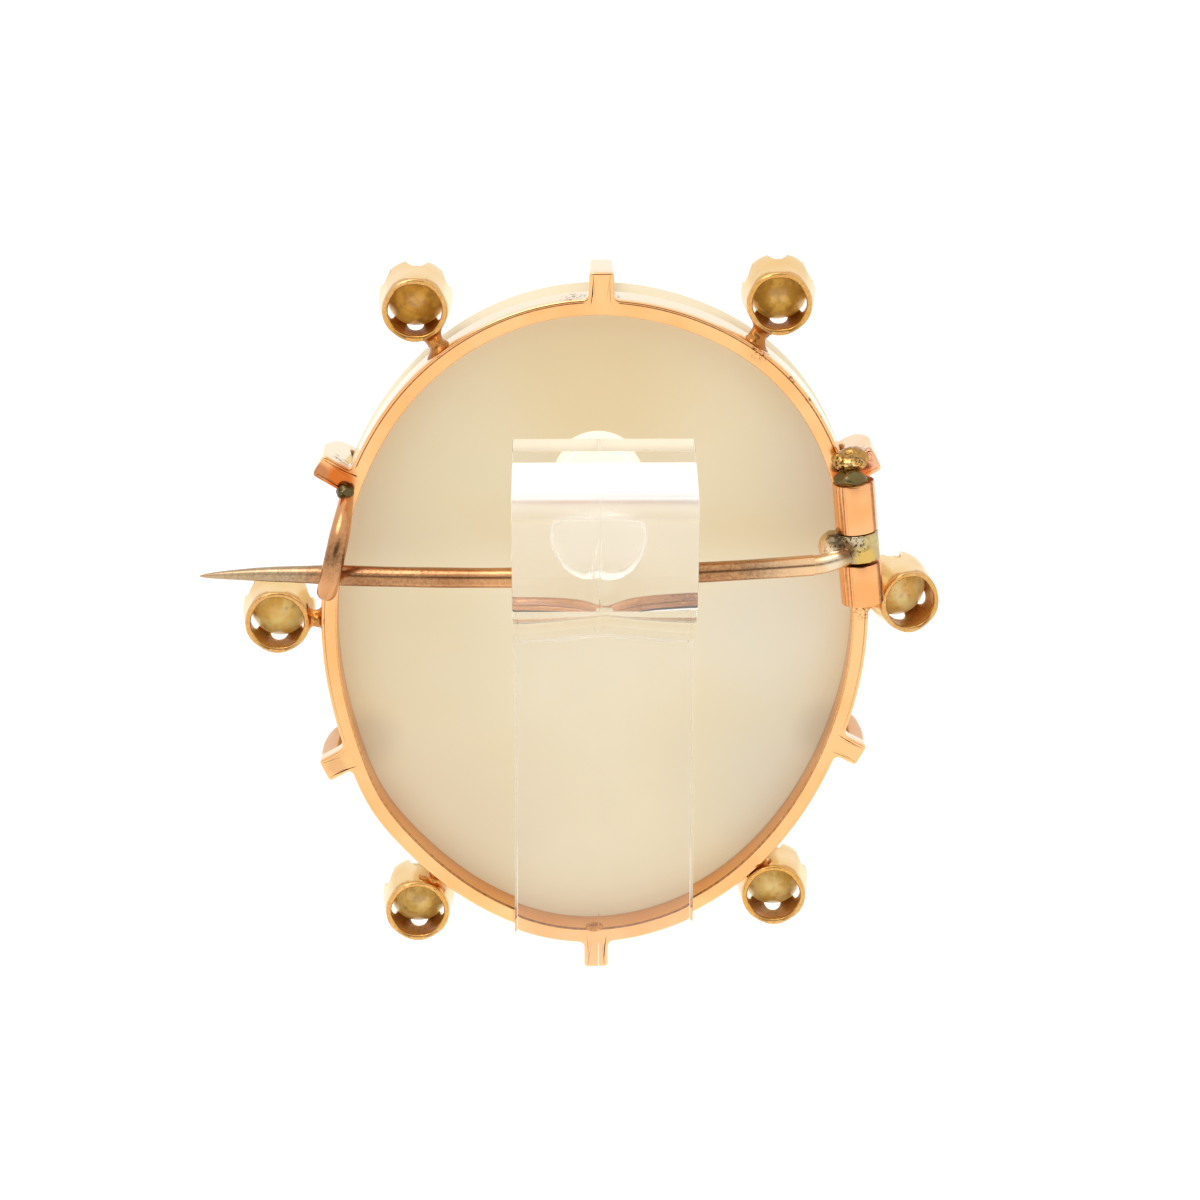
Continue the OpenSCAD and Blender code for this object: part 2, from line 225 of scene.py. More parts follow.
# %% A recipe for worn gold
def worn_gold(name, bright, deep, film, film_share=0.25, rough=0.16, scratch=0.5,
              dirt_and_shade_at=(), stains_and_painted_light_at=(), grain=(9.0, 3.0, 1.2), dirt_and_shade=None, speckled=0.3, sheen_tone=None):
    """Grain says how close the scratches lie along each axis, and speckled is the share of the
    film in small spots. The two lists of spots have rows of a place and its reach, and the
    stains also a colour: real stains, painted highlights and painted reflections. The dark
    spots are dirt, and painted shade round the hinge's lump. A mesh carries one number at
    each point for old dirt and painted shade. From 0 to 1 the metal takes the dirt colour
    given, towards 2 it is near black, and below 0 it is as pale as the pale tone given, a
    painted highlight."""
    gold = Finish(name)
    clouds = gold.noise(0.55, 5.0, 0.6)
    specks = gold.noise(5.5, 4.0, 0.7)
    dulled = gold.band(clouds * (1 - speckled) + specks * speckled, 0.66 - 0.3 * film_share, 0.8)
    tone = gold.mixed(gold.band(gold.noise(0.25, 2.0), 0.35, 0.65), bright, deep)
    tone = gold.mixed(dulled * 0.6, tone, film)
    mark = gold.mark()
    # Below 0 the mark paints the metal paler, a painted highlight.
    if sheen_tone is not None:
        tone = gold.mixed(gold.band(mark, 0.0, -1.0), tone, sheen_tone)
    for spot, reach, stain in stains_and_painted_light_at:
        tone = gold.mixed(gold.near(spot, 0.45 * reach, reach) * 0.9, tone, stain)
    # Above 0 the mark is old dirt and painted shade.
    dirt_and_shade_share = gold.maths("MAXIMUM", mark, 0.0) * (0.75 + gold.band(specks, 0.4, 0.65) * 0.25)
    for spot, reach in dirt_and_shade_at:
        spotted = gold.near(spot, 0.3 * reach, reach) * gold.band(specks, 0.5, 0.58) * 0.85
        dirt_and_shade_share = dirt_and_shade_share + spotted
    brown = dirt_and_shade or gold.mixed(0.75, film, (58, 34, 18))
    tone = gold.mixed(gold.band(dirt_and_shade_share, 0.0, 1.0), tone, brown)
    tone = gold.mixed(gold.band(dirt_and_shade_share, 1.0, 2.0), tone, (64, 38, 18))
    lines = gold.noise(1.0, 3.0, 0.7, gold.stretched(*grain))
    pits = gold.band(specks, 0.62, 0.75)
    normal = gold.bump(lines * scratch + pits * -0.5, 0.01, 0.4)
    normal = gold.bump(gold.noise(0.45, 1.0), 0.06, 0.25, normal)
    return gold.surface(
        Base_Color=tone,
        Metallic=1.0,
        Roughness=rough + dulled * 0.2 + gold.band(lines, 0.5, 0.8) * 0.06 + dirt_and_shade_share * 0.1,
        Normal=normal,
    )


ring_dirt = [
    ((-1.3, 0.7, 19.1), 1.1), ((1.1, 0.6, 19.1), 0.7), ((14.9, 0, 0.9), 0.8), ((-14.2, 0, 7.3), 1.0),
    ((9.0, 0.3, 15.8), 0.9), ((14.4, 0, 9.9), 1.3), ((10.8, 0, 14.4), 0.5), ((11.9, 0, 13.2), 0.6),
    ((12.6, 0, 12.3), 0.5), ((13.3, 0, 11.2), 0.5),
    (at_edge(34.0, 0.9, 0.7), 1.3), (at_edge(146.0, 0.7, 0.9), 0.9),
]
# The first two stains are a painted reflection: the orange of the catch's hook mirrored in the upper
# left claw's face.
ring_stains_and_reflection = [
    ((-14.1, 0, 8.6), 1.15, (206, 100, 24)), ((-15.2, 0, 9.0), 0.7, (190, 124, 78)),
    ((14.8, 0, 9.6), 1.1, (240, 176, 140)), (at_edge(209.7, 0.85, 0), 0.7, (228, 176, 122)),
]
ring_gold = worn_gold(
    "ring gold", (255, 197, 136), (251, 185, 120), (208, 136, 78), 0.12, 0.17, 0.5,
    ring_dirt, ring_stains_and_reflection, sheen_tone=(255, 238, 208),
)
rose_gold = worn_gold(
    "rose gold", (238, 178, 124), (204, 142, 94), (136, 92, 62), 0.5, 0.19, 1.1, grain=(0.3, 6.0, 6.0),
    stains_and_painted_light_at=[((11.9, -2.4, 4.3), 5.0, (240, 200, 154)), ((-19.0, -1.2, 4.5), 4.6, (222, 196, 156))],
)
tube_gold = worn_gold(
    "hinge tube gold", (253, 188, 130), (246, 170, 106), (196, 110, 56), 0.25, 0.2, 0.8
)
# The collets' gold is painted paler than the ring's, a painted highlight for the white light that
# their outer walls reflect.
collet_gold = worn_gold(
    "pale collet gold", (252, 222, 172), (244, 202, 132), (196, 130, 58), 0.12, 0.2, 0.4,
    dirt_and_shade=(206, 144, 60),
)
solder_gold = worn_gold(
    "rough solder", (236, 168, 92), (172, 108, 50), (58, 34, 18), 0.7, 0.24, 3.0, speckled=0.8
)
# On the lump the dark spots round its edges are painted shade, and the pale spot in its middle is a
# painted highlight.
old_solder = worn_gold(
    "old dark solder", (244, 192, 108), (140, 98, 50), (36, 26, 18), 0.86, 0.16, 3.6, speckled=0.6,
    dirt_and_shade_at=[
        ((13.2, -1.2, 9.9), 0.8), ((14.5, -1.2, 9.6), 0.8),
        ((13.8, -1.4, 9.3), 0.7), ((14.2, -1.2, 10.2), 0.6),
    ],
    stains_and_painted_light_at=[((13.9, -1.5, 9.75), 0.5, (255, 214, 140))],
)
root_brass = worn_gold(
    "brass of the pin's root", (204, 182, 124), (176, 156, 116), (92, 82, 68), 0.8, 0.26, 2.0,
    speckled=0.6, dirt_and_shade_at=[((13.2, -2.0, 5.6), 0.9), ((14.3, -2.3, 5.6), 1.0)],
    stains_and_painted_light_at=[
        ((11.6, -2.4, 4.3), 2.6, (240, 200, 154)), ((12.9, -2.3, 4.6), 0.9, (238, 220, 190)),
        ((14.8, -2.3, 4.7), 0.8, (222, 184, 98)), ((14.2, -2.3, 5.9), 0.6, (206, 190, 158)),
        ((13.7, -2.3, 5.2), 0.7, (120, 84, 54)), ((13.1, -2.0, 5.9), 0.7, (72, 62, 52)),
    ],
)
dark_brass = worn_gold(
    "dark tarnished brass", (128, 112, 70), (84, 74, 50), (36, 32, 26), 0.8, 0.26, 2.0
)
print("golds:", [m.name for m in bpy.data.materials])

# %% [markdown]
# ## Making a mesh
# Almost every piece is a loft, a skin over a row of outlines. A ring, a wire and a tube
# differ only in their outlines. So one helper makes the skin's faces, and another turns
# points and faces into a piece of the brooch.


# %% Lofts and pieces
def strips(rows):
    """Faces with four corners between each row of point numbers and the next."""
    pairs = [(a, np.roll(a, -1), np.roll(b, -1), b) for a, b in zip(rows, rows[1:])]
    return np.concatenate([np.stack(pair, -1) for pair in pairs]).tolist()


def loft(loops, closed=False):
    """A skin over loops of the same length. A closed one joins its last loop to its first."""
    points = np.concatenate(loops)
    rows = list(np.arange(len(points)).reshape(len(loops), -1))
    if closed:
        return points, strips(rows + rows[:1])
    return points, strips(rows) + [rows[0][::-1].tolist(), rows[-1].tolist()]


def in_scene(name, data):
    """A new object of the scene that shows some data."""
    made = bpy.data.objects.new(name, data)
    bpy.context.scene.collection.objects.link(made)
    return made


def mesh_of(name, points, faces):
    mesh = bpy.data.meshes.new(name)
    mesh.from_pydata([tuple(p) for p in points], [], faces)
    return mesh


def make_piece(name, shape, finish, slot="gold", node="gold_frame", body="brooch",
               sharp=40.0, dirt_and_shade=None):
    """A piece from points in millimetres and faces. It stands for one of the frame's solids."""
    mesh = mesh_of(name, in_metres(shape[0]), shape[1])
    if dirt_and_shade is not None:
        marks = mesh.attributes.new("dirt_and_shade", "FLOAT", "POINT")
        marks.data.foreach_set("value", np.asarray(dirt_and_shade, np.float32))
    work = bmesh.new()
    work.from_mesh(mesh)
    bmesh.ops.remove_doubles(work, verts=work.verts, dist=1e-7)
    bmesh.ops.recalc_face_normals(work, faces=work.faces)
    work.to_mesh(mesh)
    work.free()
    mesh.shade_smooth()
    mesh.set_sharp_from_angle(angle=radians(sharp))
    mesh.materials.append(finish)
    piece = in_scene(name, mesh)
    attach(piece, body)
    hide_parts(node)
    print(name, "-", len(mesh.polygons), "faces")
    return piece


def joined(shapes):
    """Several shapes as one."""
    points, faces, start = [], [], 0
    for p, f in shapes:
        points.append(p)
        faces += [[i + start for i in face] for face in f]
        start += len(p)
    return np.concatenate(points), faces


# %% [markdown]
# ## The oval ring with its claws
# The ring and the backs of the six claws are one flat plate, filed from sheet gold. Its
# softened outer edge gives the bright line round the oval, and small fillets of solder
# lead into the claws. The outline is drawn once and then carried through the ring's
# section, from the inner wall round to the front.

# %% The outline of the plate
# Each row is a claw's angle, its reach past the oval and the thickness of its metal.
CLAWS = [
    (32.2, 1.85, 1.7), (89.1, 1.5, 0.9), (148.4, 1.8, 1.8),
    (209.7, 1.5, 1.15), (270.0, 1.5, 0.9), (332.2, 1.4, 1.1),
]
CLAW_W, FOLD_T, FILLET, CORNER = 1.35, 0.69, 0.38, 0.24
RING_FACE, RING_DEPTH = 0.9, 1.7


def bend(start, corner, end, steps=7):
    t = np.linspace(0, 1, steps)[:, None]
    return (1 - t) ** 2 * start + 2 * t * (1 - t) * corner + t**2 * end


def claw_outline(degrees, reach):
    """Points round one claw, and the angle on the oval that belongs to each."""
    a = radians(degrees)
    out, side = np.array([cos(a), sin(a)]), np.array([-sin(a), cos(a)])
    half, near = CLAW_W / 2, a + np.linspace(-0.4, 0.4, 801)
    # The angles at which the oval lies this far sideways from the line of the claw.
    across = np.array([-half - FILLET, -half, half, half + FILLET])
    angles = np.interp(across, oval_r(near) * np.sin(near - a), near)

    def flank(foot, corner, s):
        high = out * (oval_r(a) + reach) + side * s * half
        up = bend(foot, corner, corner + FILLET * out)
        return np.vstack([up, bend(high - out * CORNER, high, high - side * s * CORNER)])

    feet = on_oval(angles).T
    points = np.vstack([flank(feet[0], feet[1], -1), flank(feet[3], feet[2], 1)[::-1]])
    return points, np.linspace(angles[0], angles[3], len(points))


def plate_outline():
    """The points of the plate's outline, and the angle on the oval that belongs to each."""
    claws = [claw_outline(*row[:2]) for row in CLAWS]
    starts = [t[0] for _, t in claws[1:]] + [claws[0][1][0] + 2 * pi]
    rows = []
    for (points, angles), stop in zip(claws, starts):
        between = np.linspace(angles[-1], stop, int((stop - angles[-1]) / 0.016) + 2)[1:-1]
        rows += [(points, angles), (on_oval(between).T, between)]
    return np.vstack([row[0] for row in rows]), np.concatenate([row[1] for row in rows])


outline, outline_angles = plate_outline()
print("outline points:", len(outline))

# %% [markdown]
# A ring bent by hand is never a perfect oval. This one is fuller at its upper right and
# flatter at its lower right, by half a millimetre, and the cameo was cut to fit it. So one
# function moves the ring, its claws and the cameo. Slow waves of three hundredths of a
# millimetre make the reflections swim a little. Each outline also carries a number that
# paints light and shade: thin dark lines beside the polished face are painted reflections,
# on the outer edge at the top and on the inner edge at the bottom, the inner wall is a little
# darker, and the outer bevel, the outer wall and the backs of the claws are painted paler, a
# painted highlight.


# %% A hand-bent oval
FULLER = ((52, 22, 0.7), (128, 26, 0.2), (221, 11, 0.26), (262, 14, 0.1), (320, 36, -0.46))


def hand_bent(points):
    """Moves points away from the middle. A row of FULLER is an angle, its reach and the distance."""
    p = np.atleast_2d(np.array(points, float))
    angle = np.arctan2(p[:, 2], p[:, 0])
    more = 0
    for middle, reach, distance in FULLER:
        away = (np.degrees(angle) - middle + 180) % 360 - 180
        more += distance * np.exp(-((away / reach) ** 2))
    p[:, [0, 2]] *= (1 + more / oval_r(angle))[:, None]
    return p.reshape(np.shape(points))


def bent(shape):
    return hand_bent(shape[0]), shape[1]


# %% The ring's skin
def waves(angles, size, start):
    """Slow waves round the oval, the same at each run."""
    return size * sum(np.sin(k * angles + start * k * k) / k**0.5 for k in (3, 5, 8, 13)) / 2


def oval_loop(phi, grow, depth):
    """Points on the grown oval, at one depth. phi is the angle before the squashing."""
    x, z = (HALF_W + grow) * np.cos(phi), (HALF_H + grow) * np.sin(phi)
    return np.c_[x, np.full(len(phi), depth), z]


def plate_ring(points, angles):
    along = np.roll(points, -1, 0) - np.roll(points, 1, 0)
    normals = np.c_[along[:, 1], -along[:, 0]] / np.linalg.norm(along, axis=1)[:, None]
    edge = points + normals * waves(angles, 0.02, 1.7)[:, None]
    claw_share = share_of(np.linalg.norm(points - on_oval(angles).T, axis=1) / 0.06)
    phi = np.arctan2(np.sin(angles) * HALF_W, np.cos(angles) * HALF_H)
    thin = -RING_FACE + waves(angles, 0.03, 0.4)

    def outer(inset, depth):
        p = edge - normals * (inset * np.ones(len(edge)))[:, None]
        return np.c_[p[:, 0], np.full(len(p), depth), p[:, 1]]

    soft, crisp, back_of_claw, face = 0.13, 0.06, 0.9, -0.001
    # above and below paint thin dark lines, painted reflections of dark surroundings in the bevels: on
    # the outer edge towards the top and on the inner edge towards the bottom.
    above = np.clip(0.6 + 0.6 * np.sin(angles), 0.12, 0.95) * (1 - claw_share)
    below = np.clip(0.35 - 0.6 * np.sin(angles), 0.05, 0.9)
    wall_rows = ((RING_DEPTH, 0.38), (0.9, 0.2), (crisp, 0.15))
    rows = [(oval_loop(phi, thin, y), dark) for y, dark in wall_rows]
    for t in np.radians([30, 60, 90]):
        in_by, back_by = crisp * (1 - cos(t)), crisp * (1 - sin(t))
        rows.append((oval_loop(phi, thin + in_by, back_by), 0.8 * below))
    for far, dark in ((0.015, below), (0.03, below), (0.06, below), (0.08, 0), (0.42, 0)):
        rows.append((oval_loop(phi, thin + crisp + far, face), dark))
    for inside, dark in ((0.1, 0), (0.075, above), (0.03, above), (0.01, 0)):
        rows.append((outer(soft + inside, face), dark))
    # Negative numbers paint the outer bevel, the claw backs and the outer wall paler, a painted
    # highlight.
    for t in np.radians([90, 67, 45, 22, 0]):
        loop = outer(soft * (1 - cos(t)), soft * (1 - sin(t)))
        rows.append((loop, -0.7 * (1 - t / (pi / 2)) ** 2))
    rows += [(outer(0, back_of_claw - 0.1), -1), (outer(0.1 * claw_share, back_of_claw), -0.7)]
    rows.append((oval_loop(phi, waves(angles, 0.02, 1.7), back_of_claw + 0.02), -1))
    rows += [(oval_loop(phi, 0.0, RING_DEPTH - 0.08), -1), (oval_loop(phi, -0.08, RING_DEPTH), -0.5)]
    shade_and_sheen = np.concatenate([np.ones(len(points)) * dark for _, dark in rows])
    return loft([loop for loop, _ in rows], closed=True), shade_and_sheen


ring, ring_shade_and_sheen = plate_ring(outline, outline_angles)
make_piece("ring_band", bent(ring), ring_gold, dirt_and_shade=ring_shade_and_sheen)

# %% [markdown]
# ## The claws over the cameo
# Behind the plate each claw turns forward past the cameo's edge and folds over its front.
# It is a strip with a rounded rectangle for a section, carried along a bent line.


# %% Strips and wires along a line
def smooth_line(points, steps=8):
    """A soft curve through the points, by Catmull and Rom's rule."""
    p = np.asarray(points, float)
    p = np.vstack([2 * p[0] - p[1], p, 2 * p[-1] - p[-2]])
    t = np.linspace(0, 1, steps, endpoint=False)[:, None]
    rows = []
    for a, b, c, d in zip(p, p[1:], p[2:], p[3:]):
        curve = (2 * a - 5 * b + 4 * c - d) * t**2 + (3 * b - a - 3 * c + d) * t**3
        rows.append(0.5 * (2 * b + (c - a) * t + curve))
    return np.vstack(rows + [p[-2]])


def rounded_box(width, height, corner, steps=4):
    """A rounded rectangle as (across, up) pairs."""
    out = []
    for sx, sy, start in ((1, 1, 0), (-1, 1, 90), (-1, -1, 180), (1, -1, 270)):
        t = np.radians(np.linspace(start, start + 90, steps))
        middle = sx * (width / 2 - corner), sy * (height / 2 - corner)
        out.append(middle + corner * np.c_[np.cos(t), np.sin(t)])
    return np.vstack(out)


def sweep(line, sections, up):
    """Carries sections along a line. up is the direction kept nearest to each section's own up."""
    loops = []
    for p, along, section in zip(line, np.gradient(np.asarray(line, float), axis=0), sections):
        across = unit(np.cross(unit(along), up))
        loops.append(p + section[:, :1] * across + section[:, 1:] * np.cross(across, unit(along)))
    return loft(loops)


def round_wire(line, radii, up, sides=28):
    """A wire whose thickness changes along its line."""
    circle = hoop(1, around(sides), 0)[:, :2]
    return sweep(line, [circle * r for r in radii], up)


# %% The six folded claws
def folded_claw(degrees, reach, metal):
    """Solder fills some claws, so each has its own thickness. Its side view is (out, depth)."""
    a = radians(degrees)
    out, side = np.array([cos(a), 0, sin(a)]), np.array([-sin(a), 0, cos(a)])
    far = reach - metal / 2 - 0.02
    side_view = [(far, 0.45), (far, 1.3), (far - 0.02, 2.3), (far - 0.1, 3.2)]
    side_view += [(0.62, 3.95), (0.1, 4.36), (-0.45, 4.42), (-0.92, 4.36)]
    line = smooth_line([out * (oval_r(a) + v) + np.array([0, y, 0]) for v, y in side_view], 6)
    share = np.linspace(0, 1, len(line))
    width = CLAW_W - 0.02 - 0.3 * share_of((share - 0.6) / 0.4)
    thick = FOLD_T + (metal - FOLD_T) * share_of((0.62 - share) / 0.3)
    ends = np.clip((1 - share) / 0.05, 0.25, 1) ** 0.5
    sections = [rounded_box(w * e, t * e, CORNER * e) for w, t, e in zip(width, thick, ends)]
    return sweep(line, sections, np.cross(side, [0, 1, 0]))


folded = joined([folded_claw(*row) for row in CLAWS])
# Each claw's number paints it: below 0 paler, a painted highlight, and above 0, on the two lower side
# claws, darker, painted shade.
claw_shade_and_sheen = np.repeat([-0.5, -1.0, -0.9, 0.4, -0.3, 0.4], len(folded[0]) // len(CLAWS))
make_piece("claws", bent(folded), ring_gold, dirt_and_shade=claw_shade_and_sheen)

# %% [markdown]
# ## Collets
# Each pearl sits in a short open tube of thin gold. Its front edge is cut into six
# scallops, and the points between them are bent over the pearl. The tube is one skin,
# outside and inside, whose height follows the scalloped edge.

# %% One collet, drawn along its own axis
# Each row is a collet's angle, how far out it stands and by how many degrees it leans.
COLLETS = [
    (61.7, 3.3, 0), (118.4, 2.95, 0), (179.4, 2.45, 0),
    (239.6, 2.3, 0), (301.7, 1.56, 0), (4.3, 2.25, 14),
]
BACK_R, MOUTH_R, WALL, BAND, LENGTH, SIDES = 1.77, 2.03, 0.3, 1.95, 3.5, 192


def scallop_height(theta):
    """Height of the tube's front edge: full at a claw and low between two claws."""
    across = MOUTH_R * np.abs((theta + pi / 6) % (pi / 3) - pi / 6)
    half_claw, middle = 0.44, MOUTH_R * pi / 6
    q = share_of((middle - across) / (middle - half_claw))
    off_tip = share_of(across / half_claw)
    scallop = (LENGTH - BAND) * (1 - np.sqrt(1 - q**2 * 0.9999))
    return BAND + scallop - 0.12 * off_tip**2 * (q >= 1)


def tube_radius(h):
    """Outer radius of a collet at a height: it flares, then closes over the pearl."""
    radii = [BACK_R, BACK_R + 0.02, MOUTH_R, 2.04, 1.95, 1.82]
    return np.interp(h, [0, 0.25, 2.3, 2.85, 3.25, 3.6], radii)


def collet_shape(seed):
    """The tube, and on each of its points a number for the rim's amber tint and for painted shade."""
    theta = around(SIDES)
    top = scallop_height(theta + 0.02 * np.sin(3 * theta + seed))
    top = top * (1 + 0.02 * np.sin(2 * theta + seed * 2))
    rows = [0, 0.012, 0.03, 0.05, 0.08, 0.12, 0.16, 0.3, 0.45, 0.58, 0.7, 0.8, 0.88, 0.95, 0.985, 1.0]
    # outside tints the rim amber and paints a darker line just past it, a painted reflection of dark
    # surroundings; inside paints the inner wall dark, painted shade, near black deep inside.
    outside = [0.75, 0.7, 0.6, 0.85, 0.9, 0.5, 0.1] + [0] * 9
    inside = [0.8, 0.85, 1.0, 0.8, 0.75, 0.8, 1.0, 1.3, 1.5, 1.6, 1.7, 1.7, 1.6, 1.5, 1.3, 1.0]
    outer, inner = [], []
    for r in rows:
        chamfer = 4 * max(0, 0.02 - r)
        radius = tube_radius(top * r) + 0.015 * np.sin(5 * theta + seed) - chamfer
        outer.append(hoop(radius, theta, top * r))
        radius = tube_radius(top * r * 0.995) - WALL + 0.01 * np.sin(4 * theta + seed) + chamfer
        inner.append(hoop(radius, theta, top * r * 0.995 + 0.02 * (1 - r)))
    return loft(outer + inner[::-1], closed=True), np.repeat(outside + inside[::-1], SIDES)


def rotation(axis, degrees):
    """The turn about X or Y, for points written as columns."""
    c, s = cos(radians(degrees)), sin(radians(degrees))
    about_x, about_y = [[1, 0, 0], [0, c, -s], [0, s, c]], [[c, 0, s], [0, 1, 0], [-s, 0, c]]
    return np.array(about_x if axis == "X" else about_y)


def at_collet(points, row):
    """Stands a shape drawn along +Z at its place on the ring, its axis to the front."""
    angle, out, lean = row
    a = radians(angle)
    tilt = rotation("X", lean * sin(a)) @ rotation("Y", -lean * cos(a))
    return points @ (rotation("Y", -angle) @ rotation("X", -90) @ tilt).T + at_edge(angle, out, 0)


for number, row in enumerate(COLLETS, 1):
    (points, faces), shades = collet_shape(number)
    pressed = [0.93 if row[2] else 1.0, 1, 1]  # the one that leans is pressed oval too
    collet = at_collet(points * pressed, row), faces
    make_piece(f"collet_{number}", collet, collet_gold, dirt_and_shade=shades)

# %% [markdown]
# ## Solder between the collets and the ring
# Rough blobs of hard solder hold the collets, drawn into a waist between the two walls. A
# wire that is thick at both ends has that shape, and a little noise makes it lumpy.


# %% Lumpy solder
def lumpy(shape, size, per_mm, seed):
    """Moves each point of a shape by smooth noise along its direction from the middle."""
    points, faces = shape
    away = points - points.mean(0) + 1e-9
    swell = np.array([noise.noise(Vector(p * per_mm + seed)) for p in points]) * size
    return points + away / np.linalg.norm(away, axis=1)[:, None] * swell[:, None], faces


def solder_bridge(row, seed):
    angle, out = row[:2]
    start, stop = hand_bent(at_edge(angle, -0.12, 0.85)), at_edge(angle, out - BACK_R + 0.1, 0.85)
    t = np.linspace(0, 1, 22)
    line = start + (stop - start) * t[:, None]
    radii = 0.46 + 0.4 * np.abs(2 * t - 1) ** 2.5
    return lumpy(round_wire(line, radii, (0, 1, 0), 32), 0.16, 2.6, seed)


bridges = joined([solder_bridge(row, n * 3.7) for n, row in enumerate(COLLETS)])
make_piece("collet_solder", bridges, solder_gold, sharp=80)

# %% [markdown]
# ## The hinge
# Three short tubes stand in line on a rivet. The upper and the lower one are soldered to
# the ring, and the middle one turns with the pin. The fixed tubes were rolled from strip,
# so they are a little flat in places, and their ends are filed soft.

# %% Where the hinge stands
TUBE_R, BORE_R, HINGE_LEAN = 1.15, 0.48, 5.2
HINGE_C = at_edge(20.0, -0.23, -TUBE_R - 0.1)


def in_hinge(points):
    """Points drawn round the rivet's line, with Z up the rivet."""
    return points @ rotation("Y", -HINGE_LEAN).T + HINGE_C


def up_rivet(low, high, steps=5):
    return in_hinge(np.c_[np.zeros((steps, 2)), np.linspace(low, high, steps)])


TUBE_SIDES = 96


def tube(z0, z1, seed, flats=0.03, edge=0.07):
    """An open tube with softened ends, a little out of round."""
    theta = around(TUBE_SIDES)
    wobble = flats * (np.sin(2 * theta + seed) + 0.7 * np.abs(np.sin(2.5 * theta + seed)) - 0.6)
    low = [(BORE_R, edge), (BORE_R + edge, 0), (TUBE_R - edge, 0)]
    low += [(TUBE_R - edge * 0.3, edge * 0.3), (TUBE_R, edge)]
    rows = [(r, z0 + z) for r, z in low] + [(TUBE_R, (z0 + z1) / 2)]
    rows += [(r, z1 - z) for r, z in low[::-1]]
    points, faces = loft([hoop(r + wobble * (r > 0.9), theta, z) for r, z in rows], closed=True)
    return in_hinge(points), faces


TOP_TUBE, MIDDLE, LOW_TUBE = (0.8, 3.6), (-0.85, 0.75), (-3.42, -1.03)
tubes = joined([tube(*TOP_TUBE, 0.6), tube(*LOW_TUBE, 2.1)])
# The streaks are painted reflections: dark vertical lines on the tubes' left and right flanks, where
# dark things nearby are mirrored.
streak_at = np.radians([214, 226, 236, 243, 322, 331])
streak_wide = np.radians([2.5, 4.0, 2.0, 1.5, 2.5, 7.0])
painted_streaks = np.exp(-(((around(TUBE_SIDES)[:, None] - streak_at) / streak_wide) ** 2))
painted_streaks = np.max(painted_streaks * [0.5, 0.65, 0.9, 0.5, 0.6, 0.95], 1)
make_piece("hinge_tubes", tubes, tube_gold, dirt_and_shade=np.tile(painted_streaks, len(tubes[0]) // TUBE_SIDES))


# %% Solder under the fixed tubes
def saddle(z0, z1, seed):
    """A bar of solder that fills the corner between a tube and the ring's face."""
    z = np.linspace(z0 + 0.06, z1 - 0.06, 12)
    line = in_hinge(np.c_[np.full(12, -0.12), np.full(12, TUBE_R - 0.08), z])
    ends = np.clip(np.minimum(z - z0, z1 - z) / 0.3, 0.3, 1) ** 0.5
    bar = sweep(line, [rounded_box(1.5 * e, 0.66, 0.2) for e in ends], (0, 1, 0))
    return lumpy(bar, 0.06, 2.5, seed)


saddles = joined([saddle(*TOP_TUBE, 4.0), saddle(*LOW_TUBE, 8.0)])
make_piece("hinge_solder", saddles, solder_gold, sharp=80)

# %% [markdown]
# ## One lump out of several shapes
# Solder and the forged root of the pin have no clean edges: one form melts into the next.
# Voxel remeshing gives that. It fills a grid from overlapping shapes and skins it once, and
# some smoothing rounds the corners where they met. Only large things make it slow.


# %% Melting shapes together
def fused(shapes, voxel, soften, hole=None):
    """One skin round overlapping shapes, with a hole cut through it if one is given."""
    spare = [in_scene("blank", mesh_of("blank", *joined(shapes)))]
    remesh, smooth = [spare[0].modifiers.new(kind, kind) for kind in ("REMESH", "SMOOTH")]
    remesh.mode, remesh.voxel_size = "VOXEL", voxel
    smooth.factor, smooth.iterations = 0.5, soften
    if hole is not None:
        spare.append(in_scene("drill", mesh_of("drill", *hole)))
        cut = spare[0].modifiers.new("bore", "BOOLEAN")
        cut.operation, cut.object, cut.solver = "DIFFERENCE", spare[1], "EXACT"
    graph = bpy.context.evaluated_depsgraph_get()
    result = bpy.data.meshes.new_from_object(spare[0].evaluated_get(graph))
    points = np.array([v.co for v in result.vertices])
    faces = [tuple(p.vertices) for p in result.polygons]
    for mesh in [result] + [made.data for made in spare]:
        bpy.data.meshes.remove(mesh)
    return points, faces


def ball(centre, size, sides=24):
    """A ball or an egg: size is one radius or three."""
    rows = np.linspace(0, pi, sides // 2 + 1)[1:-1]
    points, faces = loft([hoop(sin(p), around(sides), cos(p)) * size for p in rows])
    return points + centre, faces


# %% The rivet's ball and the lump of solder above it
RIVET_R = 0.45
rivet_line = up_rivet(LOW_TUBE[0] - 0.02, TOP_TUBE[1] + 0.2, 9)
rivet_wire = round_wire(rivet_line, [0.4] + [RIVET_R] * 7 + [0.4], (0, 1, 0), 32)
ball_c = in_hinge([-0.12, 0, TOP_TUBE[1] + 0.14])
rivet = joined([rivet_wire, lumpy(ball(ball_c, (0.9, 0.85, 0.5), 56), 0.12, 1.7, 2.2)])
make_piece("hinge_rivet_ball", rivet, dark_brass, "tarnished_gold", "hinge_rivet", sharp=80)

lump_c = np.array([13.9, -0.75, 9.72])
lump_shapes = [
    ball(lump_c, (0.95, 0.65, 0.5)),
    ball(lump_c + [0.15, 0.5, 0.15], (0.95, 0.6, 0.6)),
    ball(lump_c + [-0.5, 0.1, 0.2], (0.5, 0.45, 0.42)),
]
lump = lumpy(lumpy(fused(lump_shapes, 0.05, 5), 0.1, 1.9, 5.5), 0.05, 4.5, 2.5)
make_piece("hinge_lump", lump, old_solder, sharp=80)

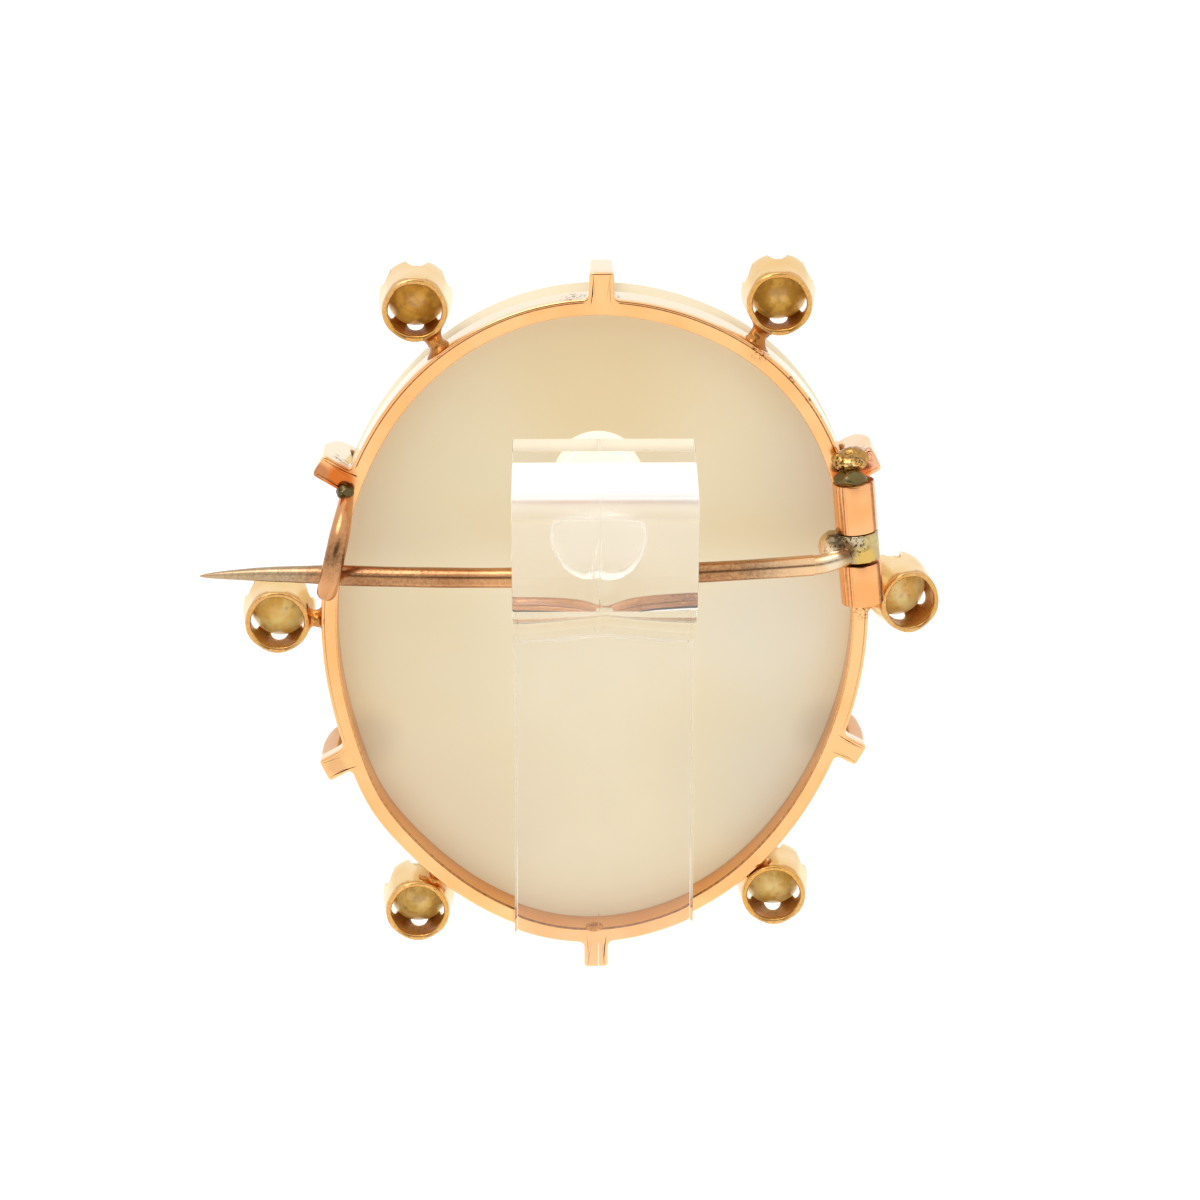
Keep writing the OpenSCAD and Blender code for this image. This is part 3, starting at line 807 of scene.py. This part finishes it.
bead = ball((-0.1, 0.05, -17.85), (0.5, 0.14, 0.3))
make_piece("bottom_bead", bent(bead), solder_gold, sharp=80)

# %% [markdown]
# ## The pin
# The pin is one forged piece: a knuckle for the hinge, a rounded shoulder that stops it
# against the ring, and a hard wire drawn out to a point. The wire bows away from the cameo,
# and that spring holds it in the catch. The root is melted together from simple shapes, and
# the wire is a sweep that thins over its last few millimetres.

# %% The line of the wire
PIN_R, PIN_BOW = 0.56, 1.1
CATCH_R, CATCH_D, CATCH_LEAN = 3.15, 1.0, 13.0
CATCH_C = at_edge(162.6, -0.45, 0)
pin_root = HINGE_C + np.array([-2.5, -1.1, -0.9])
pin_seat = CATCH_C + np.array([0, -CATCH_R + CATCH_D / 2 + PIN_R + 0.26, -0.85])
span = np.linalg.norm(pin_seat - pin_root)
bow_r = (span**2 / 4 + PIN_BOW**2) / (2 * PIN_BOW)
wire_way = unit(pin_seat - pin_root)
bow_way = unit(np.array([-wire_way[1], wire_way[0], 0]))
s = np.linspace(0, span, 60)
arc = pin_root + wire_way * s[:, None]
arc = arc + bow_way * (PIN_BOW - bow_r + np.sqrt(bow_r**2 - (s - span / 2) ** 2))[:, None]
end_way = unit(arc[-1] - arc[-2])
print("wire span", round(span, 2), "bows towards", np.round(bow_way, 2))


# %% The wire and its point
tail_s = np.array([0.3, 1.3, 2.4, 3.5, 4.5, 5.6, 6.3, 6.9, 7.35, 7.6, 7.7])
tail_r = np.array([0.56, 0.5, 0.46, 0.42, 0.37, 0.29, 0.235, 0.175, 0.11, 0.06, 0.015])
tail = arc[-1] + end_way * tail_s[:, None] + np.array([0, 0, -0.3]) * (tail_s[:, None] / 7.3) ** 2
wire_line = np.vstack([arc, tail])
wire_r = np.concatenate([PIN_R + 0.006 * np.sin(s * 1.3) + 0.02 * np.exp(-s / 2), tail_r])
WIRE_SIDES = 40
wire = round_wire(wire_line, wire_r, (0, 0, 1), WIRE_SIDES)
darkening_at, darkening = [0, 1.5, 3, 6, 12, 17, 22, span], [0, 0.3, 0.6, 0.62, 0.45, 0.4, 0.6, 0.62]
dull_wire = np.concatenate([np.interp(s, darkening_at, darkening), np.linspace(0.6, 0.35, len(tail))])
dull_wire = np.repeat(dull_wire, WIRE_SIDES)
make_piece("pin_wire", wire, rose_gold, "rose_gold", "pin", "pin_body", sharp=60, dirt_and_shade=dull_wire)

# %% The forged root and knuckle
mid_low, mid_high = MIDDLE
knuckle = round_wire(up_rivet(mid_low, mid_high), [TUBE_R] * 5, (0, 1, 0), 64)
shoulder_z = np.linspace(mid_high - 0.05, mid_low + 0.1, 7)
shoulder_line = in_hinge(np.c_[np.linspace(-1.12, -1.3, 7), np.full(7, -0.05), shoulder_z])
shoulder = round_wire(shoulder_line, [0.6, 0.84, 0.96, 1.0, 0.98, 0.88, 0.6], (0, 1, 0), 48)
root_ways = [[-0.55, -0.75, -0.45], [-1.1, -0.95, -0.62], [-1.8, -1.05, -0.8]]
root_line = smooth_line([HINGE_C + v for v in root_ways] + [pin_root, arc[3], arc[6]], 8)
root = round_wire(root_line, np.linspace(0.5, 0.565, len(root_line)), (0, 0, 1), 32)
bore = round_wire(up_rivet(mid_low - 1, mid_high + 1), [BORE_R] * 5, (0, 1, 0), 48)
forged = fused([knuckle, shoulder, root], 0.05, 3, bore)
make_piece("pin_knuckle", forged, root_brass, "tarnished_gold", "pin", "pin_body", sharp=50)

# %% [markdown]
# ## The catch
# The catch is a hook of half round wire, thin where it leaves the ring and fat at its free
# end, so that a sleeve doesn't snag on it. It is soldered on beside a claw.

# %% The hook and its solder
HOOK_STEPS, HOOK_SIDES, HOOK_R = 48, 36, 0.56
t = np.radians(np.linspace(-6, 118, HOOK_STEPS))
hook = np.c_[np.zeros(HOOK_STEPS), -CATCH_R * np.sin(t), CATCH_R * np.cos(t)]
hook = hook @ rotation("Y", CATCH_LEAN).T + CATCH_C - [0.1, 0, 0]
past = np.array([0.12, 0.25, 0.36, 0.44, 0.48])
hook_line = np.vstack([hook, hook[-1] + unit(hook[-1] - hook[-2]) * past[:, None]])
hook_r = 0.36 + 0.2 * share_of(np.linspace(0, 2, HOOK_STEPS)) ** 1.2
round_end = HOOK_R * np.sqrt(1 - np.array([0.2, 0.45, 0.68, 0.86, 0.97]) ** 2)
hook_r = np.concatenate([hook_r, round_end])
# Along the hook it is darker by its foot, and a band on its lower half is a painted dark reflection.
darkening_at, darkening = [0, 0.1, 0.2, 0.4, 0.62, 0.8, 1], [0.9, 0.5, 0.05, 0.3, 0.75, 0.25, 0.0]
hook_darkening = np.repeat(np.interp(np.linspace(0, 1, len(hook_line)), darkening_at, darkening), HOOK_SIDES)
hook_wire = round_wire(hook_line, hook_r, (1, 0, 0), HOOK_SIDES)
make_piece("catch_hook", hook_wire, rose_gold, sharp=60, dirt_and_shade=hook_darkening)

foot_shapes = [
    ball(hook[0] + [0.05, 0.45, 0.1], (0.6, 0.7, 0.55)),
    ball(hook[0] + [0.0, 0.2, 0.75], 0.5),
    ball((-13.8, -0.35, 7.95), (0.5, 0.4, 0.42)),
    ball((-13.75, -0.2, 7.5), (0.35, 0.3, 0.42)),
]
make_piece("catch_solder", lumpy(fused(foot_shapes, 0.06, 4), 0.12, 2.8, 9.1), dark_brass, sharp=80)

# %% [markdown]
# ## The cameo
# The stone is a polished oval plate with a spray of flowers carved on its front. A relief
# is a height over a flat place, so the front is a fine grid, lifted at each point to the
# highest petal, leaf or stalk there, and a wall and a flat back close it.

# %% Petals and leaves as heights
CAMEO_BACK, CAMEO_GROUND, CAMEO_INSET, RELIEF = 1.75, 3.95, 0.12, 1.8


def turned(x, z, cx, cz, angle):
    """Places as seen from (cx, cz): how far along a direction, and how far across it."""
    c, s = cos(angle), sin(angle)
    return (x - cx) * c + (z - cz) * s, -(x - cx) * s + (z - cz) * c


def petal(x, z, cx, cz, angle, length, height):
    """One rounded petal that rises towards its lip, with soft ribs."""
    p, q = turned(x, z, cx, cz, angle)
    share, width = share_of(p / length), length * 0.52
    half = width * (0.62 + 0.38 * share)
    inside = share_of(1 - (p / width - 1) ** 2 - (q / half) ** 2)
    ribs = 1 - 0.05 * np.cos(q / width * 16) * share
    return height * (0.6 + 0.4 * share) * ribs * inside**0.4


def leaf(x, z, cx, cz, angle, length, width, height):
    """A pointed leaf with a sunk middle rib and side veins."""
    p, q = turned(x, z, cx, cz, angle)
    share = share_of(p / length)
    half = width * np.sin(pi * share**0.8) * (1 + 0.06 * np.sin(share * 40)) + 1e-6
    inside = share_of(1 - (q / half) ** 2) * (p > 0) * (p < length)
    vein = 0.8 + 0.2 * np.abs(np.sin((p - np.abs(q) * 1.1) * 4.2))
    rib = 1 - 0.45 * np.exp(-((q / 0.12) ** 2))
    return height * np.sqrt(inside) * vein * rib


def stem(x, z, start, end, width, height):
    """A round stalk from one place to another."""
    (x0, z0), (x1, z1) = start, end
    dx, dz = x1 - x0, z1 - z0
    t = share_of(((x - x0) * dx + (z - z0) * dz) / (dx**2 + dz**2))
    bow = 0.08 * np.hypot(dx, dz) * np.sin(pi * t)
    away = np.hypot(x - x0 - dx * t - bow * np.sign(x0 + 0.01), z - z0 - dz * t)
    return height * np.sqrt(share_of(1 - (away / width) ** 2))


def dome(x, z, cx, cz, radius):
    """A half ball of height 1."""
    return np.sqrt(share_of(1 - ((x - cx) ** 2 + (z - cz) ** 2) / radius**2))


def rose(x, z, cx, cz, size, height, turn):
    """Four rounds of petals, each smaller and higher, around a tight bud."""
    bud = dome(x, z, cx, cz, size * 0.14)
    forms = [height * (0.8 + 0.2 * bud) * (bud > 0)]
    rounds = ((6, 1.0, 0.45), (5, 0.74, 0.66), (4, 0.5, 0.84), (3, 0.3, 0.96))
    for k, (n, r, low) in enumerate(rounds):
        for i in range(n):
            a = turn + 2 * pi * (i + 0.37 * k) / n
            forms.append(petal(x, z, cx, cz, a, size * r, height * low))
    return np.maximum.reduce(forms)


LEAVES = (
    (20, 4.5, 6.4), (68, 5.2, 6.6), (112, 5.2, 6.6), (160, 4.5, 6.4), (205, 5.0, 6.6), (335, 5.0, 6.6)
)
BUDS = (
    (-1.2, -11.4, 0.75), (0.9, -12.3, 0.7), (-8.6, -3.2, 0.7), (8.6, -3.2, 0.7),
    (0, 12.6, 0.8), (-2.4, 11.9, 0.6), (2.4, 11.9, 0.6),
)
ROSES = ((0, 2.4, 6.6, 0.97, 0.3), (-4.5, -6.6, 3.4, 0.78, 0.9), (4.5, -6.6, 3.4, 0.78, 0.1))


def relief(x, z):
    """The height of the carving over the ground at each place, in millimetres."""
    forms = [0.12 * share_of(1 - (x / HALF_W) ** 2 - (z / HALF_H) ** 2)]
    for degrees, out, size in LEAVES:
        a = radians(degrees)
        forms.append(leaf(x, z, out * cos(a), 1.6 + out * sin(a), a, size, size * 0.24, RELIEF * 0.5))
    for degrees, cx in ((238, -2.2), (302, 2.2), (270, 0.0)):
        forms.append(leaf(x, z, cx, -6.2, radians(degrees), 7.4, 1.5, RELIEF * 0.45))
    for cx, cz, radius in BUDS:
        forms.append(stem(x, z, (cx, cz), (cx * 0.15, 1.5 if cz > -5 else -4), 0.24, RELIEF * 0.3))
        forms.append(RELIEF * 0.5 * dome(x, z, cx, cz, radius))
    for cx, cz, size, height, turn in ROSES:
        forms.append(rose(x, z, cx, cz, size, RELIEF * height, turn))
    for cx, cz, *_ in ROSES[1:]:
        forms.append(stem(x, z, (cx, cz), ROSES[0][:2], 0.3, RELIEF * 0.35))
    return np.maximum.reduce(forms)


# %% The carved plate
def cameo_shape(n=230):
    """A square grid bent into the oval, its wall and back, and the depth of its hollows."""
    line = np.linspace(-1, 1, n)  # n is even, so no place is at the middle itself
    a, b = np.meshgrid(line, line, indexing="ij")
    wide = np.abs(a) >= np.abs(b)
    r, phi = np.where(wide, a, b), np.where(wide, pi / 4 * b / a, pi / 2 - pi / 4 * a / b)
    grid_w, grid_h = HALF_W - CAMEO_INSET - 0.15, HALF_H - CAMEO_INSET - 0.15
    x, z = grid_w * r * np.cos(phi), grid_h * r * np.sin(phi)
    h = relief(x, z) * share_of((1 - np.abs(r)) / 0.06)
    soft = h.copy()
    for _ in range(8):
        soft[1:-1, 1:-1] = (soft[2:, 1:-1] + soft[:-2, 1:-1] + soft[1:-1, 2:] + soft[1:-1, :-2]) / 4
    hollow = share_of((soft - h) / 0.12)
    points = np.stack([x, CAMEO_GROUND - 0.02 + h, z], -1).reshape(-1, 3)
    at = np.arange(n * n).reshape(n, n)
    corners = [at[:-1, :-1], at[1:, :-1], at[1:, 1:], at[:-1, 1:]]
    rim = np.concatenate([at[:, 0], at[-1, 1:], at[-2::-1, -1], at[0, -2:0:-1]])
    along, m = np.arctan2(points[rim][:, 2] / grid_h, points[rim][:, 0] / grid_w), len(rim)
    levels = ((-0.05, 3.9), (0.0, 3.8), (0.0, 2.0), (-0.03, 1.84), (-0.12, 1.76), (-0.3, 1.75))
    loops = [oval_loop(along, grow - CAMEO_INSET, depth) for grow, depth in levels]
    rings = [rim] + [len(points) + k * m + np.arange(m) for k in range(len(loops))]
    faces = np.stack(corners, -1).reshape(-1, 4).tolist() + strips(rings) + [rings[-1].tolist()]
    marks = np.concatenate([hollow.ravel(), np.zeros(len(loops) * m)])
    return (np.vstack([points] + loops), faces), marks


# %% [markdown]
# Behind, the polished stone is cream with slow cloudy bands, and light sinks into it before
# it comes back, which subsurface scattering gives. A faint glow stands for light that comes
# through from the front, and painted shade of the two lower claws shows on it as grey spots.
# On the front the carver kept the pale upper layer for the flowers and cut the ground down to
# a warmer one, so the colour follows the depth of each point, and painted shade darkens the
# hollows.

# %% The stone's finish
LOWER_CLAWS = (209.7, 332.2)
stone = Finish("cream stone")
spread = stone.noise(0.06, 1.5, 0.5)
bands = stone.noise(0.035, 2.0, 0.5, stone.stretched(1.0, 1.0, 3.2))
cream = stone.mixed(stone.band(spread, 0.35, 0.65), (241, 225, 190), (236, 218, 178))
cream = stone.mixed(stone.band(bands, 0.5, 0.72) * 0.6, cream, (238, 214, 164))
for x, z, reach, tone, share in (
    (0, 13.5, 9, (232, 206, 154), 0.7), (11.5, -10, 9, (224, 212, 186), 0.8),
    (-9, -12, 9, (228, 208, 174), 0.7), (13.5, 9, 7, (230, 216, 188), 0.6),
    (-13, 5, 6, (236, 222, 188), 0.5), (9.5, -1, 6, (232, 222, 200), 0.7),
    (-9, -3, 7, (230, 212, 174), 0.6), (-8, 10, 7, (234, 218, 180), 0.6),
):
    cream = stone.mixed(stone.near((x, CAMEO_BACK, z), 0.2 * reach, reach) * share, cream, tone)
claw_shade = sum(stone.near(at_edge(a, -1.2, CAMEO_BACK), 0.5, 2.4) for a in LOWER_CLAWS)
cream = stone.mixed(claw_shade * 0.22, cream, (160, 136, 118))
deep = stone.axis(1)


def cut(low, high):
    """0 below one height over the ground, 1 above another."""
    return stone.band(deep, (CAMEO_GROUND + low) * MM, (CAMEO_GROUND + high) * MM)


layers = stone.mixed(cut(0.1, 0.6), (202, 150, 102), (240, 216, 184))
layers = stone.mixed(cut(0.6, 1.5), layers, (252, 246, 236))
front_only = cut(-0.06, -0.03)
# The mark darkens the carving where it lies lower than the places round it: painted shade.
cream = stone.mixed(front_only, cream, stone.mixed(stone.mark() * 0.7, layers, (170, 116, 72)))
cream = stone.vector("MULTIPLY", cream, (0.81, 0.82, 0.84))
polish = stone.noise(3.0, 3.0, 0.6)
cameo_stone = stone.surface(
    Base_Color=cream,
    Roughness=0.42 + stone.noise(0.4, 2.0) * 0.12,
    Subsurface_Weight=0.25,
    Subsurface_Radius=(1.0, 0.85, 0.65),
    Subsurface_Scale=0.3 * MM,
    Specular_IOR_Level=0.3,
    Emission_Color=stone.mixed(front_only, cream, (0, 0, 0)),
    Emission_Strength=0.25,
    Normal=stone.bump(polish, 0.006, 0.15),
)
cameo, hollows = cameo_shape()
cameo = bent(cameo)
make_piece("carved_cameo", cameo, cameo_stone, "cameo_stone", "cameo", sharp=65, dirt_and_shade=hollows)

# %% [markdown]
# ## The pearls
# A natural pearl is a little flat on one side and a little lumpy. Its skin is many thin
# layers, so a soft sheen lies over a cream body.

# %% Six pearls
def pearl_skin(number, behind, dusk):
    """Cream in front. Behind, painted light: golden, as if lit only by light bounced from the gold
    wall around it, and glowing a little for light that comes through the pearl.
    """
    nacre = Finish(f"nacre {number}")
    clouds = nacre.noise(0.9, 3.0, 0.6)
    cream = nacre.mixed(nacre.band(clouds, 0.35, 0.65), (246, 236, 214), (238, 222, 188))
    # golden is painted light, the colour of light bounced from the gold wall.
    golden = nacre.mixed(nacre.band(clouds, 0.4, 0.62), behind, dusk)
    golden = nacre.mixed(nacre.band(nacre.noise(1.3, 3.0), 0.52, 0.72) * 0.4, golden, (128, 86, 36))
    in_front = nacre.band(nacre.axis(1), 2.6 * MM, 3.6 * MM)
    skin = nacre.noise(2.4, 3.0, 0.5)
    return nacre.surface(
        Base_Color=nacre.mixed(in_front, golden, cream),
        Emission_Color=nacre.mixed(in_front, golden, (0, 0, 0)),
        Emission_Strength=0.2,
        Roughness=0.24 + skin * 0.12,
        Subsurface_Weight=0.6,
        Subsurface_Radius=(1.0, 0.7, 0.35),
        Subsurface_Scale=1.2 * MM,
        Coat_Weight=0.3,
        Coat_Roughness=0.12,
        Normal=nacre.bump(skin, 0.01, 0.2),
    )


PEARL_TONES = [
    ((238, 196, 98), (200, 152, 64)), ((236, 186, 84), (198, 142, 54)),
    ((252, 226, 144), (236, 196, 98)), ((242, 212, 128), (212, 172, 82)),
    ((246, 218, 140), (218, 180, 90)), ((254, 228, 156), (242, 200, 112)),
]
for number, (row, tones) in enumerate(zip(COLLETS, PEARL_TONES), 1):
    points, faces = lumpy(ball((0, 0, 0), (1.66, 1.66, 1.56), 56), 0.05, 0.7, number * 2.3)
    bead = at_collet(points + [0, 0, 3.0], row), faces
    skin = pearl_skin(number, *tones)
    make_piece(f"pearl_bead_{number}", bead, skin, "pearl", f"pearl_{number}", sharp=80)

# %% [markdown]
# ## The clear stand
# The brooch hangs by its pin on a small stand of clear acrylic. An upright stands on a
# square foot, and a block in front of it leaves a groove, open at the top, for the wire.
# The block's front leans back, and most along its middle, where the sheet was bent. It all
# matters, because clear plastic shows the wire behind it moved and broken by those faces.

# %% Clear acrylic
acrylic = Finish("clear acrylic")
POST_X, HEAD_TOP = 0.42, 10.95
haze = acrylic.noise(0.3, 3.0)
scuffs = acrylic.noise(1.2, 4.0, 0.7, acrylic.stretched(1.0, 1.0, 6.0))
side, outward, height = [acrylic.axis(number) for number in range(3)]
top = (OVAL_CENTRE[2] + HEAD_TOP) * MM
in_block = 1 - acrylic.band(outward, -4.4 * MM, -4.2 * MM)
sawn = acrylic.band(height, top - 1.5 * MM, top - 0.6 * MM) * in_block
post_top = acrylic.band(height, top - 0.03 * MM, top - 0.01 * MM) * (1 - in_block)
in_foot = 1 - acrylic.band(height, 3.2 * MM, 4.2 * MM)
score = 1 - acrylic.band(acrylic.maths("ABSOLUTE", side - 0.17 * MM), 0.02 * MM, 0.07 * MM)
clear_tone = acrylic.mixed(haze * (1 - in_block), (255, 255, 255), (245, 244, 242))
# The emission is painted light: the block, its sawn top, the foot and the upright's top glow, standing
# for light that the clear plastic carries and scatters.
glow = acrylic.mixed(in_block, (0, 0, 0), (124, 120, 114))
glow = acrylic.mixed(sawn, glow, acrylic.mixed(scuffs, (186, 184, 176), (120, 122, 124)))
glow = acrylic.mixed(in_foot, glow, (200, 200, 200))
glow = acrylic.mixed(post_top, glow, (232, 214, 176))
clear_acrylic = acrylic.surface(
    Base_Color=acrylic.mixed(post_top, clear_tone, (249, 231, 201)),
    Roughness=acrylic.band(scuffs, 0.6, 0.8) * 0.03 + (sawn + post_top) * 0.4 + in_foot * 0.3,
    IOR=1.49,
    Transmission_Weight=1.0,
    Emission_Color=glow,
    Emission_Strength=0.22,
    Normal=acrylic.bump(score, 0.05, 0.6),
)

# %% [markdown]
# A render would let clear plastic shade the stone far more than real plastic does, because
# few paths of light find their way through two bent surfaces. So the clear pieces cast no
# shadow.


# %% Clear pieces and the shape of the stand
def clear_piece(*row, **settings):
    piece = make_piece(*row, **settings)
    piece.visible_shadow = False
    piece.visible_diffuse = False


# %% The stand's side view, which changes a little from left to right
POST_W, POST_BACK, POST_FRONT, BLOCK_HALF = 10.0, -0.15, -2.35, 4.7
GROOVE_BACK, BLOCK_FRONT, BLOCK_ROUND, BLOCK_LOW = -4.3, -11.2, 1.1, 4.1
LEAN, CREASE_LEAN = 0.38, 0.18
FOOT_W, FOOT_T = 30.0, 3.0
FOOT_TOP = FOOT_T - OVAL_CENTRE[2]


def underside_dip(x):
    """1 at the block's middle and 0 at its sides."""
    return share_of(1 - np.abs(x - POST_X) / BLOCK_HALF) ** 1.2


def side_view(x, inset):
    """The outline of the stand at x as (y, z) pairs, drawn in by inset at its two sides."""
    i, dip = inset, underside_dip(x)
    crease = 1 / (1 + (abs(x - POST_X) / 1.35) ** 1.8)
    half, t = (POST_FRONT - GROOVE_BACK) / 2 + i, np.linspace(0, pi, 17)
    groove_z = np.interp(x, arc[::-1, 0], arc[::-1, 2]) - PIN_R - 0.1 + half - i
    groove = np.c_[(POST_FRONT + GROOVE_BACK) / 2 + half * np.cos(t), groove_z - half * np.sin(t)]
    r, t = BLOCK_ROUND - i, np.linspace(pi / 2, pi + atan(LEAN - CREASE_LEAN * crease), 14)
    shoulder = np.c_[BLOCK_FRONT + BLOCK_ROUND + r * np.cos(t), HEAD_TOP - BLOCK_ROUND + r * np.sin(t)]
    fall, t = shoulder[-1, 1] - BLOCK_LOW - i, np.linspace(0.08, 1, 16)
    front = shoulder[-1] + fall * np.c_[LEAN * t + CREASE_LEAN * crease * (t**3 - t), -t]
    bottom = np.array([(-6.0, 2.17 + 0.6 * dip + i), (POST_FRONT - i, -0.18 + 0.35 * dip + i)])
    bottom = np.vstack([front[-1] + [0.15, -0.1], bottom])
    t = np.array([0.02, 0.25, 0.5, 0.75, 0.98])[:, None]
    return np.vstack([
        (POST_BACK - i, FOOT_TOP - 0.5), (POST_BACK - i, HEAD_TOP - i), (POST_FRONT + i, HEAD_TOP - i),
        groove, (GROOVE_BACK - i, HEAD_TOP - i), shoulder, front,
        *[a + (b - a) * t for a, b in zip(bottom, bottom[1:])], (POST_FRONT - i, FOOT_TOP - 0.5),
    ])


edge = 0.09
columns = [(-POST_W / 2, edge), (-POST_W / 2 + edge * 0.3, edge * 0.3), (-POST_W / 2 + edge, 0)]
columns += [(x, 0) for x in np.linspace(-4.6, 4.6, 60)] + [(-x, i) for x, i in columns[::-1]]
sections = []
for across, inset in columns:
    side = side_view(POST_X + across, inset)
    sections.append(np.c_[np.full(len(side), POST_X + across), side])
clear_piece("stand_upright", loft(sections), clear_acrylic, "clear_acrylic", "stand", sharp=25)

# %% The square foot
foot_edge, foot_low = 0.25, -OVAL_CENTRE[2]
foot_rows = [(foot_edge, foot_low), (0, foot_low + foot_edge)]
foot_rows += [(0, FOOT_TOP - foot_edge), (foot_edge, FOOT_TOP)]
foot_loops = []
for inset, z in foot_rows:
    loop = rounded_box(FOOT_W - 2 * inset, FOOT_W - 2 * inset, 0.8 - inset, 7)
    foot_loops.append(np.c_[loop, np.full(len(loop), z)])
clear_piece("stand_foot", loft(foot_loops), clear_acrylic, "clear_acrylic", "stand", sharp=25)

# %% [markdown]
# ## The soft pad
# A small drop of clear gel keeps the hard plastic off the cameo. It spreads where it
# touches each of them, so it is an oval bead with a waist.

# %% A bead of gel
gel = Finish("clear gel")
gel_cloud = gel.noise(0.5, 2.0)
gel_top = gel.band(gel.axis(2), (OVAL_CENTRE[2] + 8.4) * MM, (OVAL_CENTRE[2] + 9.6) * MM)
# The gel glows, painted light, brighter towards its top.
clear_gel = gel.surface(
    Base_Color=gel.mixed(gel_cloud, (252, 251, 248), (240, 239, 236)),
    Roughness=0.08 + gel_cloud * 0.08,
    IOR=1.41,
    Transmission_Weight=0.93,
    Emission_Color=gel.mixed(gel_top, (92, 90, 86), (218, 212, 204)),
    Emission_Strength=0.4,
    Normal=gel.bump(gel_cloud, 0.1, 0.3),
)
PAD_X, PAD_Z, PAD_W, PAD_H, PAD_BACK, PAD_FRONT = 0.12, 8.05, 5.2, 5.5, -0.12, 1.72
pad_loops = []
for share in np.linspace(0, 1, 13):
    waist = 1 - 0.09 * sin(pi * share)
    x, z, _ = hoop(waist / 2, around(72), 0).T
    y = np.full(72, PAD_BACK + (PAD_FRONT - PAD_BACK) * share)
    pad_loops.append(np.c_[PAD_X + PAD_W * x, y, PAD_Z + PAD_H * z])
clear_piece("gel_bead", loft(pad_loops), clear_gel, "clear_gel", "stand_pad", sharp=50)

# %% A bead of clear cement where the block joins the upright
weld_x = np.linspace(POST_X - BLOCK_HALF, POST_X + BLOCK_HALF, 40)
weld_line = np.c_[weld_x, np.full(40, POST_FRONT - 0.05), 0.14 + 0.41 * underside_dip(weld_x)]
weld_r = 0.3 + 0.03 * np.sin(weld_x * 2.3) - 0.15 * (np.abs(weld_x - POST_X) > 4.5)
weld = round_wire(weld_line, weld_r, (0, 0, 1), 16)
clear_piece("cement_bead", weld, clear_gel, "clear_acrylic", "stand", sharp=60)

# %% [markdown]
# ## Floor, light and camera
# The photograph was taken in a white light tent from a little above. So the world is nearly
# white, the floor is pale, and one dark place stands for the camera and whoever holds it.
# Polished gold shows it as the thin line along the pin.

# %% A pale floor
FLOOR_HALF = 1.2
corners = [(x * FLOOR_HALF, y * FLOOR_HALF, 0) for x, y in ((-1, -1), (1, -1), (1, 1), (-1, 1))]
floor = in_scene("floor", mesh_of("floor", corners, [(0, 1, 2, 3)]))
paper = Finish("pale paper")
floor.data.materials.append(paper.surface(
    Base_Color=paper.mixed(paper.noise(0.02), (104, 104, 104), (108, 108, 108)),
    Roughness=0.7,
    Emission_Color=(1, 1, 1, 1),
    Emission_Strength=0.93,
))

# %% A white tent with one dark place
CAMERA_RISE, CAMERA_TURN, CAMERA_AWAY = 20.0, -0.4, 300.0
rise, turn = radians(CAMERA_RISE), radians(CAMERA_TURN)
to_camera = np.array([cos(rise) * sin(turn), -cos(rise) * cos(turn), sin(rise)])
SQUEEZE = np.array([0.4, 1.0, 1.0])
tent = Finish("white tent", bpy.data.worlds.new("white tent"))
bpy.context.scene.world = tent.owner
sky = tent.vector("MULTIPLY", tent.node("TexCoord", {}, {}, "Generated"), tuple(SQUEEZE))
from_dark = tent.vector("DISTANCE", sky, tuple(to_camera * SQUEEZE), "Value")
stops = [(0.17, (0.12, 0.08, 0.07, 1)), (0.27, (1, 1, 1, 1))]
white = tent.node("ValToRGB", {"stops": stops}, {"Fac": from_dark})
walls = tent.node("Background", {}, {"Color": white, "Strength": 1.0})
tent.node("OutputWorld", {}, {"Surface": walls})

# %% A soft light from above
middle = Vector(OVAL_CENTRE * MM)
lamp = bpy.data.lights.new("top box", "AREA")
lamp.size, lamp.energy = 0.25, 0.5
box = in_scene("top box", lamp)
box.location = (-0.15, -0.1, 0.45)
box.rotation_euler = (middle - box.location).to_track_quat("-Z", "Y").to_euler()

# %% The camera
PHOTO_SIZE, CENTRE_ACROSS, CENTRE_DOWN = 1200, 596, 625.5
lens = bpy.data.cameras.new("camera")
lens.lens, lens.sensor_width = 162.0, 36.0
lens.shift_x = 0.5 - CENTRE_ACROSS / PHOTO_SIZE
lens.shift_y = CENTRE_DOWN / PHOTO_SIZE - 0.5
camera = in_scene("camera", lens)
camera.location = middle + Vector(to_camera) * CAMERA_AWAY * MM
camera.rotation_euler = (-Vector(to_camera)).to_track_quat("-Z", "Y").to_euler()
bpy.context.scene.camera = camera
bpy.context.scene.view_settings.view_transform = "Standard"
